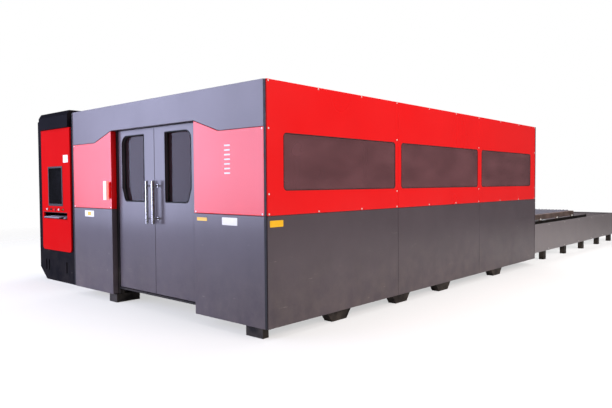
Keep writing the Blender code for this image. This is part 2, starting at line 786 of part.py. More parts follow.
def leaf_window(side):
    """Window outline of a door leaf: round top outer corner, sloped bottom outer corner."""
    middle = OPENING_NEAR + OPENING_WIDTH / 2
    inner = middle + DOOR_WINDOW_INNER
    outer = leaf_edges()[1] - DOOR_WINDOW_MARGIN
    run, rise = DOOR_WINDOW_CHAMFER
    points = [(inner, DOOR_WINDOW_LOW), (outer - run, DOOR_WINDOW_LOW),
              (outer, DOOR_WINDOW_LOW + rise), (outer, DOOR_WINDOW_HIGH),
              (inner, DOOR_WINDOW_HIGH)]
    radii = [DOOR_WINDOW_INNER_RADIUS, DOOR_WINDOW_CHAMFER_RADIUS, DOOR_WINDOW_CHAMFER_RADIUS,
             DOOR_WINDOW_RADIUS, DOOR_WINDOW_INNER_RADIUS]
    outline = rounded(points, radii)
    if side == "near":
        outline = [(2 * middle - u, v) for u, v in reversed(outline)]
    return outline


def door_leaf(side):
    """Hinged door leaf with its window, pane, pivots and pull handle."""
    middle = OPENING_NEAR + OPENING_WIDTH / 2
    near, far = leaf_edges()
    if side == "near":
        span = (near, middle - LEAF_CLEAR / 2)
    else:
        span = (middle + LEAF_CLEAR / 2, far)
    x, y = hinge_point(side)
    origin = (x, y, LEAF_BOTTOM)
    outline = rectangle(span[0], span[1], LEAF_BOTTOM, leaf_top())
    window = leaf_window(side)
    back = LEAF_PLANE + LEAF_DEPTH
    body = prism([outline, window], LEAF_PLANE, back, "end")
    crown = leaf_top()
    foot = LEAF_BOTTOM - LEAF_CLEARANCE - PIVOT_HOLE_DEPTH / 2 + SEAM
    pins = [rod((x, y, crown - PIN_ROOT), (x, y, crown + PIN_REACH), PIVOT_RADIUS),
            rod((x, y, foot), (x, y, LEAF_BOTTOM + PIN_ROOT), PIVOT_RADIUS)]
    finish(joined([body] + pins), "door_leaf_" + side, "slate_grey", origin)
    ys = [point[0] for point in window]
    pane = rectangle(min(ys) - PANE_LAP, max(ys) + PANE_LAP, DOOR_WINDOW_LOW - PANE_LAP,
                     DOOR_WINDOW_HIGH + PANE_LAP)
    finish(prism([pane], back + TOUCH, back + TOUCH + GLASS, "end"),
           "door_glass_" + side, "clear_glass", origin)
    offset = -HANDLE_FROM_GAP if side == "near" else HANDLE_FROM_GAP
    bar_x = LEAF_PLANE - HANDLE_STANDOFF
    bar_y = middle + offset
    solids = [rod((bar_x, bar_y, HANDLE_LOW), (bar_x, bar_y, HANDLE_HIGH), HANDLE_RADIUS, 20)]
    for z in (HANDLE_LOW + HANDLE_END, HANDLE_HIGH - HANDLE_END):
        solids.append(rod((bar_x, bar_y, z), (LEAF_PLANE - TOUCH, bar_y, z), POST_RADIUS, 12))
    finish(joined(solids), "door_handle_" + side, "stainless", origin, smooth=True)


def rear_and_roof():
    """Rear wall around the pallet opening, and the roof."""
    face = LENGTH
    bed_wall = BED_IN - REAR_OPENING_MARGIN
    high = UPPER_LEVEL + REAR_OPENING_RISE
    spans = {
        "rear_panel_upper": rectangle(SEAM, WIDTH - SEAM, high, TOP),
        "rear_panel_near": rectangle(SEAM, bed_wall, FLOOR_GAP, high - SEAM),
        "rear_panel_far": rectangle(mirrored_y(bed_wall), WIDTH - SEAM, FLOOR_GAP, high - SEAM),
    }
    for name, outline in spans.items():
        finish(tray(outline, face, -SIDE_DEPTH, "end"), name, "slate_grey")
    roof = rectangle(FRONT_DEPTH + TOUCH, LENGTH - SIDE_DEPTH - SEAM,
                     SIDE_DEPTH + SEAM, WIDTH - SIDE_DEPTH - SEAM)
    crown = TOP - CROWN_SETBACK
    seat = TOP - SIDE_DEPTH - ROOF_SEAT + TOUCH
    finish(tray(roof, crown, seat - crown, "flat"), "roof_panel", "slate_grey")


def ledge_tops():
    """Height of the running surface of each pallet level, upper then lower."""
    wheel_bottom = UPPER_LEVEL - WHEEL_DROP - WHEEL_RADIUS
    return wheel_bottom - TOUCH, wheel_bottom - LEVEL_STEP - TOUCH


def bed_cross_xs():
    """Places of the bed's cross members and of the pads under them."""
    first = BED_START + BED_CROSS_MARGIN
    step = (BED_END - BED_CROSS_MARGIN - first) / (BED_CROSS_COUNT - 1)
    return [first + step * index for index in range(BED_CROSS_COUNT)]


def bed():
    """Welded machine bed: two long side beams, cross members, ledges, racks and pads."""
    solids = []
    ledge_end = TABLE_START - TOUCH
    rack_deep, rack_tall = RACK
    for side in ("near", "far"):
        solids.append(sided_box(side, (BED_START, BED_END), (BED_OUT, BED_IN),
                                (BED_LOW, BED_TOP)))
        solids.append(sided_box(side, (BED_START + RAIL_MARGIN, BED_END - RAIL_MARGIN),
                                (BED_OUT - rack_deep, BED_OUT + WELD),
                                (BED_TOP - WELD - rack_tall, BED_TOP - WELD)))
        for top in ledge_tops():
            solids.append(sided_box(side, (LEDGE_START, ledge_end), (BED_IN - WELD,
                                    BED_IN + LEDGE_WIDTH), (top - LEDGE_THICK, top)))
        for x in bed_cross_xs():
            half = BED_PAD / 2
            solids.append(sided_box(side, (x - half, x + half), (BED_OUT + WELD, BED_IN - 2 * WELD),
                                    (0.0, BED_LOW + WELD)))
    width, height = BED_CROSS
    for x in bed_cross_xs():
        solids.append(box((x - width / 2, BED_IN - WELD, BED_LOW + WELD / 2),
                          (x + width / 2, mirrored_y(BED_IN) + WELD, BED_LOW + height)))
    finish(joined(solids), "machine_bed", "bed_grey")


def rail_outline(middle, base, width, height):
    """Section of a linear rail: a wide foot, a waist and a wider head."""
    half = width / 2
    waist = half * RAIL_WAIST
    heights = RAIL_STEPS
    halves = [half, half, waist, half, half]
    right = [(middle + h, base + height * z) for h, z in zip(halves, heights)]
    left = [(middle - h, base + height * z) for h, z in zip(halves, heights)]
    return right + list(reversed(left))


def x_rails():
    """Linear rails on the bed that the gantry runs on."""
    for side in ("near", "far"):
        middle = BED_OUT + RAIL_INSET
        if side == "far":
            middle = mirrored_y(middle)
        outline = rail_outline(middle, BED_TOP + TOUCH, RAIL_WIDTH, RAIL_HEIGHT)
        finish(prism([outline], BED_START + RAIL_MARGIN, BED_END - RAIL_MARGIN, "end"),
               "x_rail_" + side, "machined_steel")


def slat_outline(length_low, length_high, top, depth):
    """A support slat seen from the end of the pallet: a row of pointed teeth with notches."""
    pitch = (length_high - length_low) / TOOTH_COUNT
    land = pitch * TOOTH_LAND
    points = [(length_low, top - depth), (length_high, top - depth)]
    for tooth in reversed(range(TOOTH_COUNT)):
        start = length_low + pitch * tooth
        points.append((start + pitch, top - TOOTH_HEIGHT))
        points.append((start + pitch / 2 + land / 2, top))
        points.append((start + pitch / 2 - land / 2, top))
    points.append((length_low, top - TOOTH_HEIGHT))
    return points


def pallet(name, start, level):
    """Slatted pallet: box frame, centre spine, toothed slats in sockets and side wheels."""
    width, height = BEAM
    near = (WIDTH - PALLET_WIDTH) / 2
    far = near + PALLET_WIDTH
    end = start + PALLET_LENGTH
    outer = rectangle(start, end, near, far)
    frame = prism([outer, inset(outer, width)], level, level + height, "flat")
    spine_width, spine_height = SPINE
    middle = WIDTH / 2
    spine_low = level + SPINE_LIFT
    spine = box((start + width / 2, middle - spine_width / 2, spine_low),
                (end - width / 2, middle + spine_width / 2, spine_low + spine_height))
    top = level + height + TOOTH_HEIGHT
    outline = slat_outline(near + width - SLAT_SOCKET, far - width + SLAT_SOCKET, top,
                           SLAT_DEPTH)
    pitch = (PALLET_LENGTH - 2 * width) / (SLAT_COUNT + 1)
    first = start + width + pitch - SLAT_THICK / 2
    slat = prism([outline], first, first + SLAT_THICK, "end")
    slats = repeated(slat, SLAT_COUNT, (pitch, 0.0, 0.0))
    spacing = (PALLET_LENGTH - 2 * WHEEL_MARGIN) / (WHEEL_COUNT - 1)
    axle_z = level - WHEEL_DROP
    solids = [frame, spine, slats]
    lug_long, lug_deep, lug_drop = LUG
    for side in (1, -1):
        beam_face = near if side == 1 else far
        hub = beam_face - side * WHEEL_GAP
        x = start + WHEEL_MARGIN
        wheel = rod((x, hub, axle_z), (x, hub - side * WHEEL_WIDTH, axle_z), WHEEL_RADIUS)
        lug_ys = sorted((beam_face, beam_face + side * lug_deep))
        lug = box((x - lug_long / 2, lug_ys[0], level + WELD - lug_drop - WHEEL_DROP),
                  (x + lug_long / 2, lug_ys[1], level + WELD))
        axle = rod((x, hub - side * WHEEL_GAP, axle_z), (x, beam_face + side * AXLE_ROOT, axle_z),
                   AXLE_RADIUS, 8)
        station = joined([lug, axle, wheel])
        solids.append(repeated(station, WHEEL_COUNT, (spacing, 0.0, 0.0)))
    origin = ((start + end) / 2, middle, level)
    finish(joined(solids), name, "mill_steel", origin)


def gantry():
    """Cross beam on two end trucks, with guides for the carriage and a drive motor each side."""
    deep, tall = GANTRY_BOX
    rail_top = BED_TOP + TOUCH + RAIL_HEIGHT
    truck_low = rail_top + TOUCH
    beam_low = truck_low + GANTRY_LIFT
    rail_y = BED_OUT + RAIL_INSET
    truck_length, truck_width = TRUCK
    beam_end = rail_y - truck_width / 2
    solids = [softened(box((GANTRY_X - deep / 2, beam_end, beam_low),
                           (GANTRY_X + deep / 2, mirrored_y(beam_end), beam_low + tall)),
                       GANTRY_BEVEL)]
    for side in ("near", "far"):
        span = (rail_y - truck_width / 2, rail_y + truck_width / 2)
        truck = sided_box(side, (GANTRY_X - truck_length / 2, GANTRY_X + truck_length / 2),
                          span, (truck_low, beam_low + TRUCK_LAP))
        solids.append(softened(truck, GANTRY_BEVEL))
        y = beam_end + MOTOR_INSET
        y = y if side == "near" else mirrored_y(y)
        x = GANTRY_X + deep / 2 + MOTOR_RADIUS + MOTOR_GAP
        solids.append(rod((x, y, beam_low + MOTOR_SPAN[0]), (x, y, beam_low + MOTOR_SPAN[1]),
                          MOTOR_RADIUS, 20))
        solids.append(box((GANTRY_X + deep / 2 - WELD, y - MOTOR_RADIUS, beam_low + BRACKET_SPAN[0]),
                          (x, y + MOTOR_RADIUS, beam_low + BRACKET_SPAN[1])))
    guide_width, guide_depth = GUIDE
    face = GANTRY_X - deep / 2
    centre = beam_low + tall / 2
    guide_start = beam_end + GUIDE_MARGIN
    for z in (centre - GUIDE_SPACING / 2, centre + GUIDE_SPACING / 2):
        solids.append(box((face - guide_depth, guide_start, z - guide_width / 2),
                          (face + WELD, mirrored_y(guide_start), z + guide_width / 2)))
    origin = (GANTRY_X, WIDTH / 2, beam_low)
    finish(joined(solids), "gantry_beam", "gantry_white", origin)


def head_places():
    """Shared heights and depths of the carriage and the cutting head."""
    beam_low = BED_TOP + TOUCH + RAIL_HEIGHT + TOUCH + GANTRY_LIFT
    plate_back = GANTRY_X - GANTRY_BOX[0] / 2 - GUIDE[1] - TOUCH
    plate_front = plate_back - CARRIAGE_SIZE[0]
    tip = UPPER_LEVEL + BEAM[1] + TOOTH_HEIGHT + NOZZLE_CLEAR
    return beam_low, plate_back, plate_front, tip


def carriage():
    """Carriage plate on the cross beam, with the lift motor and the cover of its screw."""
    beam_low, back, front, _ = head_places()
    middle = WIDTH / 2
    _, wide, tall = CARRIAGE_SIZE
    low = beam_low + CARRIAGE_LIFT
    solids = [softened(box((front, middle - wide / 2, low), (back, middle + wide / 2, low + tall)),
                       SOFT_EDGE)]
    rail_deep, rail_wide = HEAD_RAIL
    for side in (-1, 1):
        y = middle + side * HEAD_RAIL_SPACING / 2
        solids.append(box((front - rail_deep, y - rail_wide / 2, low + HEAD_RAIL_ENDS[0]),
                          (front + WELD, y + rail_wide / 2, low + tall - HEAD_RAIL_ENDS[1])))
    crown = low + tall
    cover_front, cover_wide, cover_tall = SCREW_COVER
    solids.append(softened(box((front - cover_front, middle - cover_wide / 2, crown - WELD),
                               (back - WELD, middle + cover_wide / 2, crown + cover_tall)),
                           SOFT_EDGE))
    motor_x = front + WELD
    motor_low = crown + cover_tall - WELD
    solids.append(rod((motor_x, middle, motor_low),
                      (motor_x, middle, motor_low + WELD + LIFT_MOTOR_HEIGHT),
                      LIFT_MOTOR_RADIUS, 20))
    origin = (back, middle, low)
    finish(joined(solids), "head_carriage", "machined_steel", origin)


def cutting_head():
    """Vertical slide with the laser head: collimator, body, focus barrel and nozzle."""
    beam_low, _, front, tip = head_places()
    middle = WIDTH / 2
    deep, wide, tall = SLIDE_SIZE
    back = front - HEAD_RAIL[0] - TOUCH
    face = back - deep
    low = beam_low + SLIDE_LIFT
    plate = softened(box((face, middle - wide / 2, low), (back, middle + wide / 2, low + tall)),
                     SOFT_EDGE)
    axis_x = face - HEAD_OFFSET
    profile = [(radius, tip + height) for radius, height in BARREL_PROFILE]
    barrel = turned(profile, (axis_x, middle, 0.0), (0, 0, 1))
    block_front, block_wide = HEAD_BLOCK
    block = box((axis_x - block_front, middle - block_wide / 2, tip + HEAD_BLOCK_Z[0]),
                (face + WELD, middle + block_wide / 2, tip + HEAD_BLOCK_Z[1]))
    port_radius, port_reach, port_z = GAS_PORT
    gas = rod((axis_x, middle + BARREL_FOCUS / 2, tip + port_z),
              (axis_x, middle + port_reach, tip + port_z), port_radius, 12)
    origin = (axis_x, middle, tip)
    finish(joined([plate, softened(block, SOFT_EDGE), barrel, gas]), "cutting_head",
           "cap_black", origin)


def table_frame():
    """Exchange table frame: side beams on legs, cross tubes and two-level pallet rails."""
    beam_width, beam_height = TABLE_BEAM
    seat = TABLE_INSET + SIDE_DEPTH + TOUCH
    beam_top = TABLE_TOP - TABLE_BEAM_DROP
    end = TABLE_END - SIDE_DEPTH - TOUCH
    half = LEG / 2
    leg_xs = [LEG_START + LEG_PITCH * index for index in range(LEG_COUNT)]
    leg_xs.append(TABLE_END - LAST_LEG_MARGIN)
    solids = []
    plate = (BED_IN - RAIL_PLATE, BED_IN)
    upper, lower = ledge_tops()
    foot_rise, crown_rise = RAIL_PLATE_RISE
    for side in ("near", "far"):
        solids.append(sided_box(side, (TABLE_START, end), (seat, seat + beam_width),
                                (beam_top - beam_height, beam_top)))
        for x in leg_xs:
            solids.append(sided_box(side, (x - half, x + half), (seat, seat + beam_width),
                                    (0.0, beam_top - beam_height / 2)))
        solids.append(sided_box(side, (TABLE_START, RAIL_END), plate,
                                (CROSS_LOW + foot_rise, upper + crown_rise)))
        for top in (upper, lower):
            solids.append(sided_box(side, (TABLE_START, RAIL_END),
                                    (plate[0] + WELD, BED_IN + LEDGE_WIDTH),
                                    (top - LEDGE_THICK, top)))
    tube_width, tube_height = CROSS_TUBE
    for x in leg_xs:
        solids.append(box((x - tube_width / 2, seat + beam_width / 2, CROSS_LOW),
                          (x + tube_width / 2, mirrored_y(seat + beam_width / 2),
                           CROSS_LOW + tube_height)))
    shaft_z = drive_height()
    motor = rod((SHAFT_X, plate[0] - DRIVE_MOTOR_LENGTH, shaft_z),
                (SHAFT_X, plate[0] + SHEET, shaft_z), DRIVE_MOTOR_RADIUS, 20)
    gear_wide, gear_deep = GEARBOX
    gearbox = box((SHAFT_X - gear_wide / 2, plate[0] - gear_deep, shaft_z - gear_wide / 2),
                  (SHAFT_X + gear_wide / 2, plate[0] + SHEET / 2, shaft_z + gear_wide / 2))
    solids += [motor, softened(gearbox, SOFT_EDGE)]
    body = joined(solids)
    reach = plate[0] - BORE_DEPTH
    bore = rod((SHAFT_X, reach, shaft_z), (SHAFT_X, mirrored_y(reach), shaft_z),
               SHAFT_RADIUS + PIVOT_CLEAR, 24)
    finish(cut(body, [bore]), "table_frame", "frame_black")


def drive_height():
    """Height of the chain drive shaft, between the two pallet levels' ledges."""
    upper, lower = ledge_tops()
    return (upper - LEDGE_THICK + lower) / 2


def sprocket_outline(teeth):
    """Toothed disc seen along its shaft: each tooth is a flat crest between two flanks."""
    root = SPROCKET_RADIUS - SPROCKET_TOOTH
    points = []
    for tooth in range(teeth):
        for share, crest in SPROCKET_CREST:
            radius = root + SPROCKET_TOOTH * crest
            angle = 2 * math.pi * (tooth + share) / teeth
            points.append((radius * math.cos(angle), radius * math.sin(angle)))
    return points


def drive_shaft():
    """Chain drive shaft across the exchange table, with a sprocket near each side.

    It is built about the Y axis and finished on its own place.
    """
    reach = WIDTH / 2 - BED_IN + RAIL_PLATE + SHAFT_OVERHANG
    disc = WIDTH / 2 - BED_IN - SPROCKET_INSET
    inner = disc - SPROCKET_WIDTH - HUB_REACH
    outer = disc + HUB_REACH
    steps = [(0.0, reach), (SHAFT_RADIUS, reach), (SHAFT_RADIUS, outer), (HUB_RADIUS, outer),
             (HUB_RADIUS, inner), (SHAFT_RADIUS, inner)]
    steps += [(radius, -height) for radius, height in reversed(steps)]
    solids = [turned(steps, (0.0, 0.0, 0.0), (0, 1, 0), 20)]
    for y in (-disc, disc - SPROCKET_WIDTH):
        solids.append(prism([sprocket_outline(SPROCKET_TEETH)], y, y + SPROCKET_WIDTH, "side"))
    shaft = joined(solids)
    finish(shaft, "chain_drive_shaft", "machined_steel", (0.0, 0.0, 0.0))
    shaft.location = (SHAFT_X, WIDTH / 2, drive_height())


def table_cladding():
    """Sheet side panels and end panel of the exchange table."""
    low_x = LENGTH + TOUCH
    high_x = TABLE_END - SIDE_DEPTH - TOUCH
    outline = rectangle(low_x, high_x, TABLE_LOW, TABLE_TOP)
    finish(tray(outline, TABLE_INSET, SIDE_DEPTH, "side"), "table_panel_near", "table_grey")
    finish(tray(outline, mirrored_y(TABLE_INSET), -SIDE_DEPTH, "side"), "table_panel_far",
           "table_grey")
    end = rectangle(TABLE_INSET, mirrored_y(TABLE_INSET), TABLE_LOW, TABLE_TOP)
    finish(tray(end, TABLE_END, -SIDE_DEPTH, "end"), "table_panel_end", "table_grey")


def console_outline():
    """Front view of the console cabinet, with its two lower corners cut off."""
    low, high = CONSOLE_Y
    run, rise = CONSOLE_CHAMFER
    return [(low + run, 0.0), (high - run, 0.0), (high, rise), (high, CONSOLE_TOP),
            (low, CONSOLE_TOP), (low, rise)]


def console_cabinet():
    """Cabinet shell, open at the back, with vents, drawer slot, runners and a mounting plate."""
    back = CONSOLE_X + CONSOLE_DEPTH
    body = prism([console_outline()], CONSOLE_X, back, "end")
    hollow = prism([inset(console_outline(), CONSOLE_WALL)], CONSOLE_X + CONSOLE_WALL,
                   back + CUT_MARGIN, "end")
    through = (CONSOLE_X - CUT_MARGIN, CONSOLE_X + CONSOLE_WALL + CUT_MARGIN)
    tools = [hollow, box((through[0], SLOT_Y[0], SLOT_Z[0]), (through[1], SLOT_Y[1], SLOT_Z[1]))]
    for y in VENT_YS:
        tools.append(box((through[0], y - VENT_WIDTH / 2, VENT_Z[0]),
                         (through[1], y + VENT_WIDTH / 2, VENT_Z[1])))
    shell = cut(body, tools)
    runners = []
    runner_wide, runner_tall = RUNNER
    for y_low in (SLOT_Y[0] - runner_wide, SLOT_Y[1]):
        runners.append(box((CONSOLE_X + CONSOLE_WALL - SHEET, y_low, SLOT_Z[0] - runner_tall / 2),
                           (CONSOLE_X + CONSOLE_WALL + SHELF_DEPTH, y_low + runner_wide,
                            SLOT_Z[0] + runner_tall / 2)))
    plate_back = CONSOLE_X + MOUNTING_PLATE[0] + MOUNTING_PLATE[1]
    plate = box((CONSOLE_X + MOUNTING_PLATE[0], CONSOLE_Y[0] + MOUNTING_PLATE_MARGIN,
                 MOUNTING_PLATE_LOW),
                (plate_back, CONSOLE_Y[1] - MOUNTING_PLATE_MARGIN,
                 CONSOLE_TOP - CONSOLE_WALL + SHEET))
    finish(joined([shell] + runners + [plate]), "console_cabinet", "console_dark")


def console_hood():
    """Hood over the console's fascia, seated on the cabinet's top and front."""
    front = CONSOLE_X - HOOD_PROUD
    seat_z = CONSOLE_TOP + TOUCH
    seat_x = CONSOLE_X - TOUCH
    back = front + HOOD_DEPTH
    outline = [(front, FASCIA_Z[1] + SEAM), (seat_x, FASCIA_Z[1] + SEAM), (seat_x, seat_z),
               (back, seat_z), (back, HOOD_TOP), (front + HOOD_BEVEL[0], HOOD_TOP),
               (front, HOOD_TOP - HOOD_BEVEL[1])]
    finish(prism([outline], FASCIA_Y[0], FASCIA_Y[1], "side"), "console_hood", "console_dark")


def cable_duct():
    """Folded channel that covers the cables between the enclosure and the console."""
    low, high = DUCT_X
    crown, foot = DUCT_Z[1], DUCT_Z[0]
    outline = [(low, foot), (low + SHEET, foot), (low + SHEET, crown - SHEET),
               (high - SHEET, crown - SHEET), (high - SHEET, foot), (high, foot),
               (high, crown), (low, crown)]
    finish(prism([outline], WIDTH + TOUCH, CONSOLE_Y[0] - TOUCH, "side"), "cable_duct",
           "console_dark")


def button_ys():
    """Places of the operating elements, from the far one to the near one."""
    return [BUTTON_FIRST - BUTTON_PITCH * index for index in range(BUTTON_COUNT)]


def circle(y, z, radius, sides=20):
    """A round outline."""
    points = []
    for index in range(sides):
        angle = 2 * math.pi * index / sides
        points.append((y + radius * math.cos(angle), z + radius * math.sin(angle)))
    return points


def console_fascia():
    """Red operator panel with openings for screen, buttons and keyboard drawer."""
    outline = rectangle(FASCIA_Y[0], FASCIA_Y[1], FASCIA_Z[0], FASCIA_Z[1])
    outline = rounded(outline, [FASCIA_RADIUS, FASCIA_RADIUS, 0.0, 0.0])
    holes = [rectangle(SCREEN_Y[0], SCREEN_Y[1], SCREEN_Z[0], SCREEN_Z[1]),
             rectangle(SLOT_Y[0], SLOT_Y[1], SLOT_Z[0], SLOT_Z[1])]
    holes += [circle(y, BUTTON_Z, BUTTON_HOLE) for y in button_ys()]
    back = CONSOLE_X - TOUCH
    finish(prism([outline] + holes, FASCIA_FRONT, back, "end"), "console_fascia", "signal_red")
    clear = SCREEN_CLEAR
    screen = box((FASCIA_FRONT - SCREEN_PROUD, SCREEN_Y[0] + clear, SCREEN_Z[0] + clear),
                 (back, SCREEN_Y[1] - clear, SCREEN_Z[1] - clear))
    finish(softened(screen, SCREEN_EDGE), "console_screen", "screen_black")


def push_profile(cap_radius, cap_height, dome):
    """Push button: cap with a crowned top on a stem that passes through the fascia."""
    crown = CAP_GAP + cap_height
    return [(0.0, crown), (cap_radius - dome, crown), (cap_radius, crown - dome),
            (cap_radius, CAP_GAP), (BUTTON_STEM, CAP_GAP), (BUTTON_STEM, -STEM_LENGTH),
            (0.0, -STEM_LENGTH)]


def knob_profile(radius, height):
    """Rotary actuator: flange on the fascia's face and a stem through it."""
    edge = SHEET
    return [(0.0, height), (radius - edge, height), (radius, height - edge),
            (radius, TOUCH), (BUTTON_STEM, TOUCH), (BUTTON_STEM, -STEM_LENGTH),
            (0.0, -STEM_LENGTH)]


def grip(place, size, root):
    """Bar or blade that stands out of a rotary actuator."""
    x, y, z = place
    deep, wide, tall = size
    return box((x - root - deep, y - wide / 2, z - tall / 2),
               (x - root, y + wide / 2, z + tall / 2))


def console_buttons():
    """Five operating elements in a row under the screen."""
    outward = (-1, 0, 0)
    places = [(FASCIA_FRONT, y, BUTTON_Z) for y in button_ys()]
    finish(turned(push_profile(*PUSH_CAP), places[0], outward),
           "start_button", "cap_white", places[0], smooth=True)
    base = turned(knob_profile(*SELECTOR_BASE), places[1], outward)
    bar = softened(grip(places[1], SELECTOR_BAR, SELECTOR_BASE[1] / 2), SHEET)
    finish(joined([base, bar]), "selector_switch", "cap_black", places[1])
    finish(turned(push_profile(*STOP_CAP), places[2], outward),
           "emergency_stop", "cap_red", places[2], smooth=True)
    finish(turned(push_profile(*PUSH_CAP), places[3], outward),
           "reset_button", "cap_white", places[3], smooth=True)
    barrel = turned(knob_profile(*KEY_BASE), places[4], outward)
    blade = grip(places[4], KEY_BLADE, KEY_BASE[1] / 2)
    finish(joined([barrel, blade]), "key_switch", "key_brass", places[4])


def keyboard_drawer():
    """Drawer shelf on its runners, with the keyboard and the mouse on it."""
    front = CONSOLE_X - FASCIA_DEPTH - SHELF_PROUD
    low = SLOT_Z[0] + TOUCH
    back = front + SHELF_DEPTH
    y_low, y_high = SLOT_Y[0] + SHELF_CLEAR, SLOT_Y[1] - SHELF_CLEAR
    shelf = box((front, y_low, low), (back, y_high, low + SHELF_THICK))
    lip = box((back - SHELF_THICK, y_low, low), (back, y_high, low + SHELF_LIP))
    origin = (front, (y_low + y_high) / 2, low)
    finish(joined([shelf, lip]), "keyboard_shelf", "console_dark", origin)
    seat = low + SHELF_THICK + TOUCH
    deep, wide = KEYBOARD
    toe, brow, crown = KEYBOARD_HEIGHTS
    edge = front + KEYBOARD_INSET
    outline = [(edge, seat), (edge + deep, seat), (edge + deep, seat + crown),
               (edge + brow - toe, seat + brow), (edge, seat + toe)]
    far_end = y_high - KEYBOARD_EDGE
    finish(prism([outline], far_end - wide, far_end, "side"), "keyboard", "key_grey", origin)
    work = bmesh.new()
    bmesh.ops.create_uvsphere(work, u_segments=20, v_segments=10, radius=1.0)
    bmesh.ops.scale(work, vec=MOUSE, verts=work.verts)
    mouse_x, mouse_y = MOUSE_PLACE
    bmesh.ops.translate(work, vec=(front + mouse_x, y_low + mouse_y, seat), verts=work.verts)
    mesh = bpy.data.meshes.new("mouse")
    work.to_mesh(mesh)
    work.free()
    below = box((front - CUT_MARGIN, y_low, seat - 2 * MOUSE[2]), (back, y_high, seat))
    finish(cut(temporary(mesh), [below]), "mouse", "key_grey", origin, smooth=True)


def console_door():
    """Hinged rear door of the cabinet, with hinge barrels and a swing handle."""
    back = CONSOLE_X + CONSOLE_DEPTH + TOUCH
    face = back + REAR_DOOR_THICK
    body = prism([inset(console_outline(), REAR_DOOR_MARGIN)], back, face, "end")
    hinge_y = CONSOLE_Y[1] - REAR_DOOR_MARGIN
    radius, length = REAR_HINGE
    solids = [body]
    for z in REAR_HINGE_ZS:
        solids.append(rod((face, hinge_y, z - length / 2), (face, hinge_y, z + length / 2),
                          radius, 12))
    handle_y = CONSOLE_Y[0] + SWING_HANDLE_MARGIN
    proud, wide = SWING_HANDLE
    solids.append(softened(box((face - SHEET, handle_y - wide / 2, SWING_HANDLE_Z[0]),
                               (face + proud, handle_y + wide / 2, SWING_HANDLE_Z[1])),
                           SOFT_EDGE))
    finish(joined(solids), "console_door", "console_dark", (face, hinge_y, 0.0))


clear_scene()
PARTS = bpy.data.collections.new("laser_cutting_machine")
bpy.context.scene.collection.children.link(PARTS)
MACHINE = bpy.data.objects.new("machine_origin", None)
PARTS.objects.link(MACHINE)
MACHINE.location = (-(TABLE_END + HANDLE_FRONT) / 2, -CONSOLE_Y[1] / 2, 0.0)

side_panels()
frame_side("near")
frame_side("far")
door_frame()
door_end_panels()
door_leaf("near")
door_leaf("far")
rear_and_roof()
bed()
x_rails()
gantry()
carriage()
cutting_head()
pallet("pallet_upper", PALLET_OUT, UPPER_LEVEL)
pallet("pallet_lower", PALLET_IN, UPPER_LEVEL - LEVEL_STEP)
table_frame()
drive_shaft()
table_cladding()
console_cabinet()
console_hood()
cable_duct()
console_fascia()
console_buttons()
keyboard_drawer()
console_door()
bpy.context.view_layer.update()
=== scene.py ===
"""Looks of the fiber laser cutting machine: sheet panels, glass, screws, pallets and console.

Lengths are in metres. Machine coordinates run from the door end along X, from the near long
side along Y and from the floor along Z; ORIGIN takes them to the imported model's frame.
"""
import math

import bmesh
import bpy
from mathutils import Matrix, Vector


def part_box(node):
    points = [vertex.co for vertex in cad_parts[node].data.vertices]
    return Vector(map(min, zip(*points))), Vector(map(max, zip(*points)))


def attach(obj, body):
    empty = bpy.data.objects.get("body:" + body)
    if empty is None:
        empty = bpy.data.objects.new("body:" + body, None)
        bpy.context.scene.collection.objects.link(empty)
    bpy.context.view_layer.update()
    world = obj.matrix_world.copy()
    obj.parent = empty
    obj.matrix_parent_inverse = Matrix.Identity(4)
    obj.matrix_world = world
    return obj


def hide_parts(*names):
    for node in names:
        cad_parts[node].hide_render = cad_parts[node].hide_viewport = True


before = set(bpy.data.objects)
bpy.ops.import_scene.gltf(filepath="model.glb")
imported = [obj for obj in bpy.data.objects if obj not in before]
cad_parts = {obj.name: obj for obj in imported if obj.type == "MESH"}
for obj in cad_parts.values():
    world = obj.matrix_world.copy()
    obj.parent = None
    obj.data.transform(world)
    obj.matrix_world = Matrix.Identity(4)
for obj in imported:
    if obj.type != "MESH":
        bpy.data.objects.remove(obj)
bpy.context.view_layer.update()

bl_info = {
    "name": "Fiber laser cutting machine",
    "version": (1, 0, 0),
    "blender": (4, 5, 0),
    "location": "3D View > Sidebar > Laser Cutter",
    "description": "Builds the looks of an enclosed laser cutter around its packed model",
    "category": "Object",
}

ORIGIN = Vector((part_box("lintel_fascia")[0].x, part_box("panel_upper_near_1")[0].y, 0.0))


def machine_box(node):
    """Lowest and highest corner of a CAD node in machine coordinates."""
    low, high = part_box(node)
    return low - ORIGIN, high - ORIGIN


# The machine's sizes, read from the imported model

SHEET = 0.002
FOLD = 0.004
SEAM = 0.003
PROUD = 0.003
SECTIONS = ("1", "2", "3")
LENGTH = machine_box("rear_panel_upper")[1].x
WIDTH = machine_box("panel_upper_far_1")[1].y
TOP = machine_box("panel_upper_near_1")[1].z
FRONT_DEPTH = machine_box("lintel_fascia")[1].x
SIDE_DEPTH = machine_box("panel_upper_near_1")[1].y
COLOUR_LINE = machine_box("panel_upper_near_1")[0].z
FLOOR_GAP = machine_box("panel_lower_near_1")[0].z
CORNER_GAP = machine_box("lintel_fascia")[0].y
SHOULDER_TOP = machine_box("lintel_fascia")[0].z - SEAM
OPENING_NEAR = machine_box("front_grey_panel_near")[1].y
OPENING_FAR = machine_box("front_grey_panel_far")[0].y
OPENING_TOP = machine_box("front_red_panel_near")[1].z + SEAM
DOOR_MIDDLE = (OPENING_NEAR + OPENING_FAR) / 2


# Trees of nodes

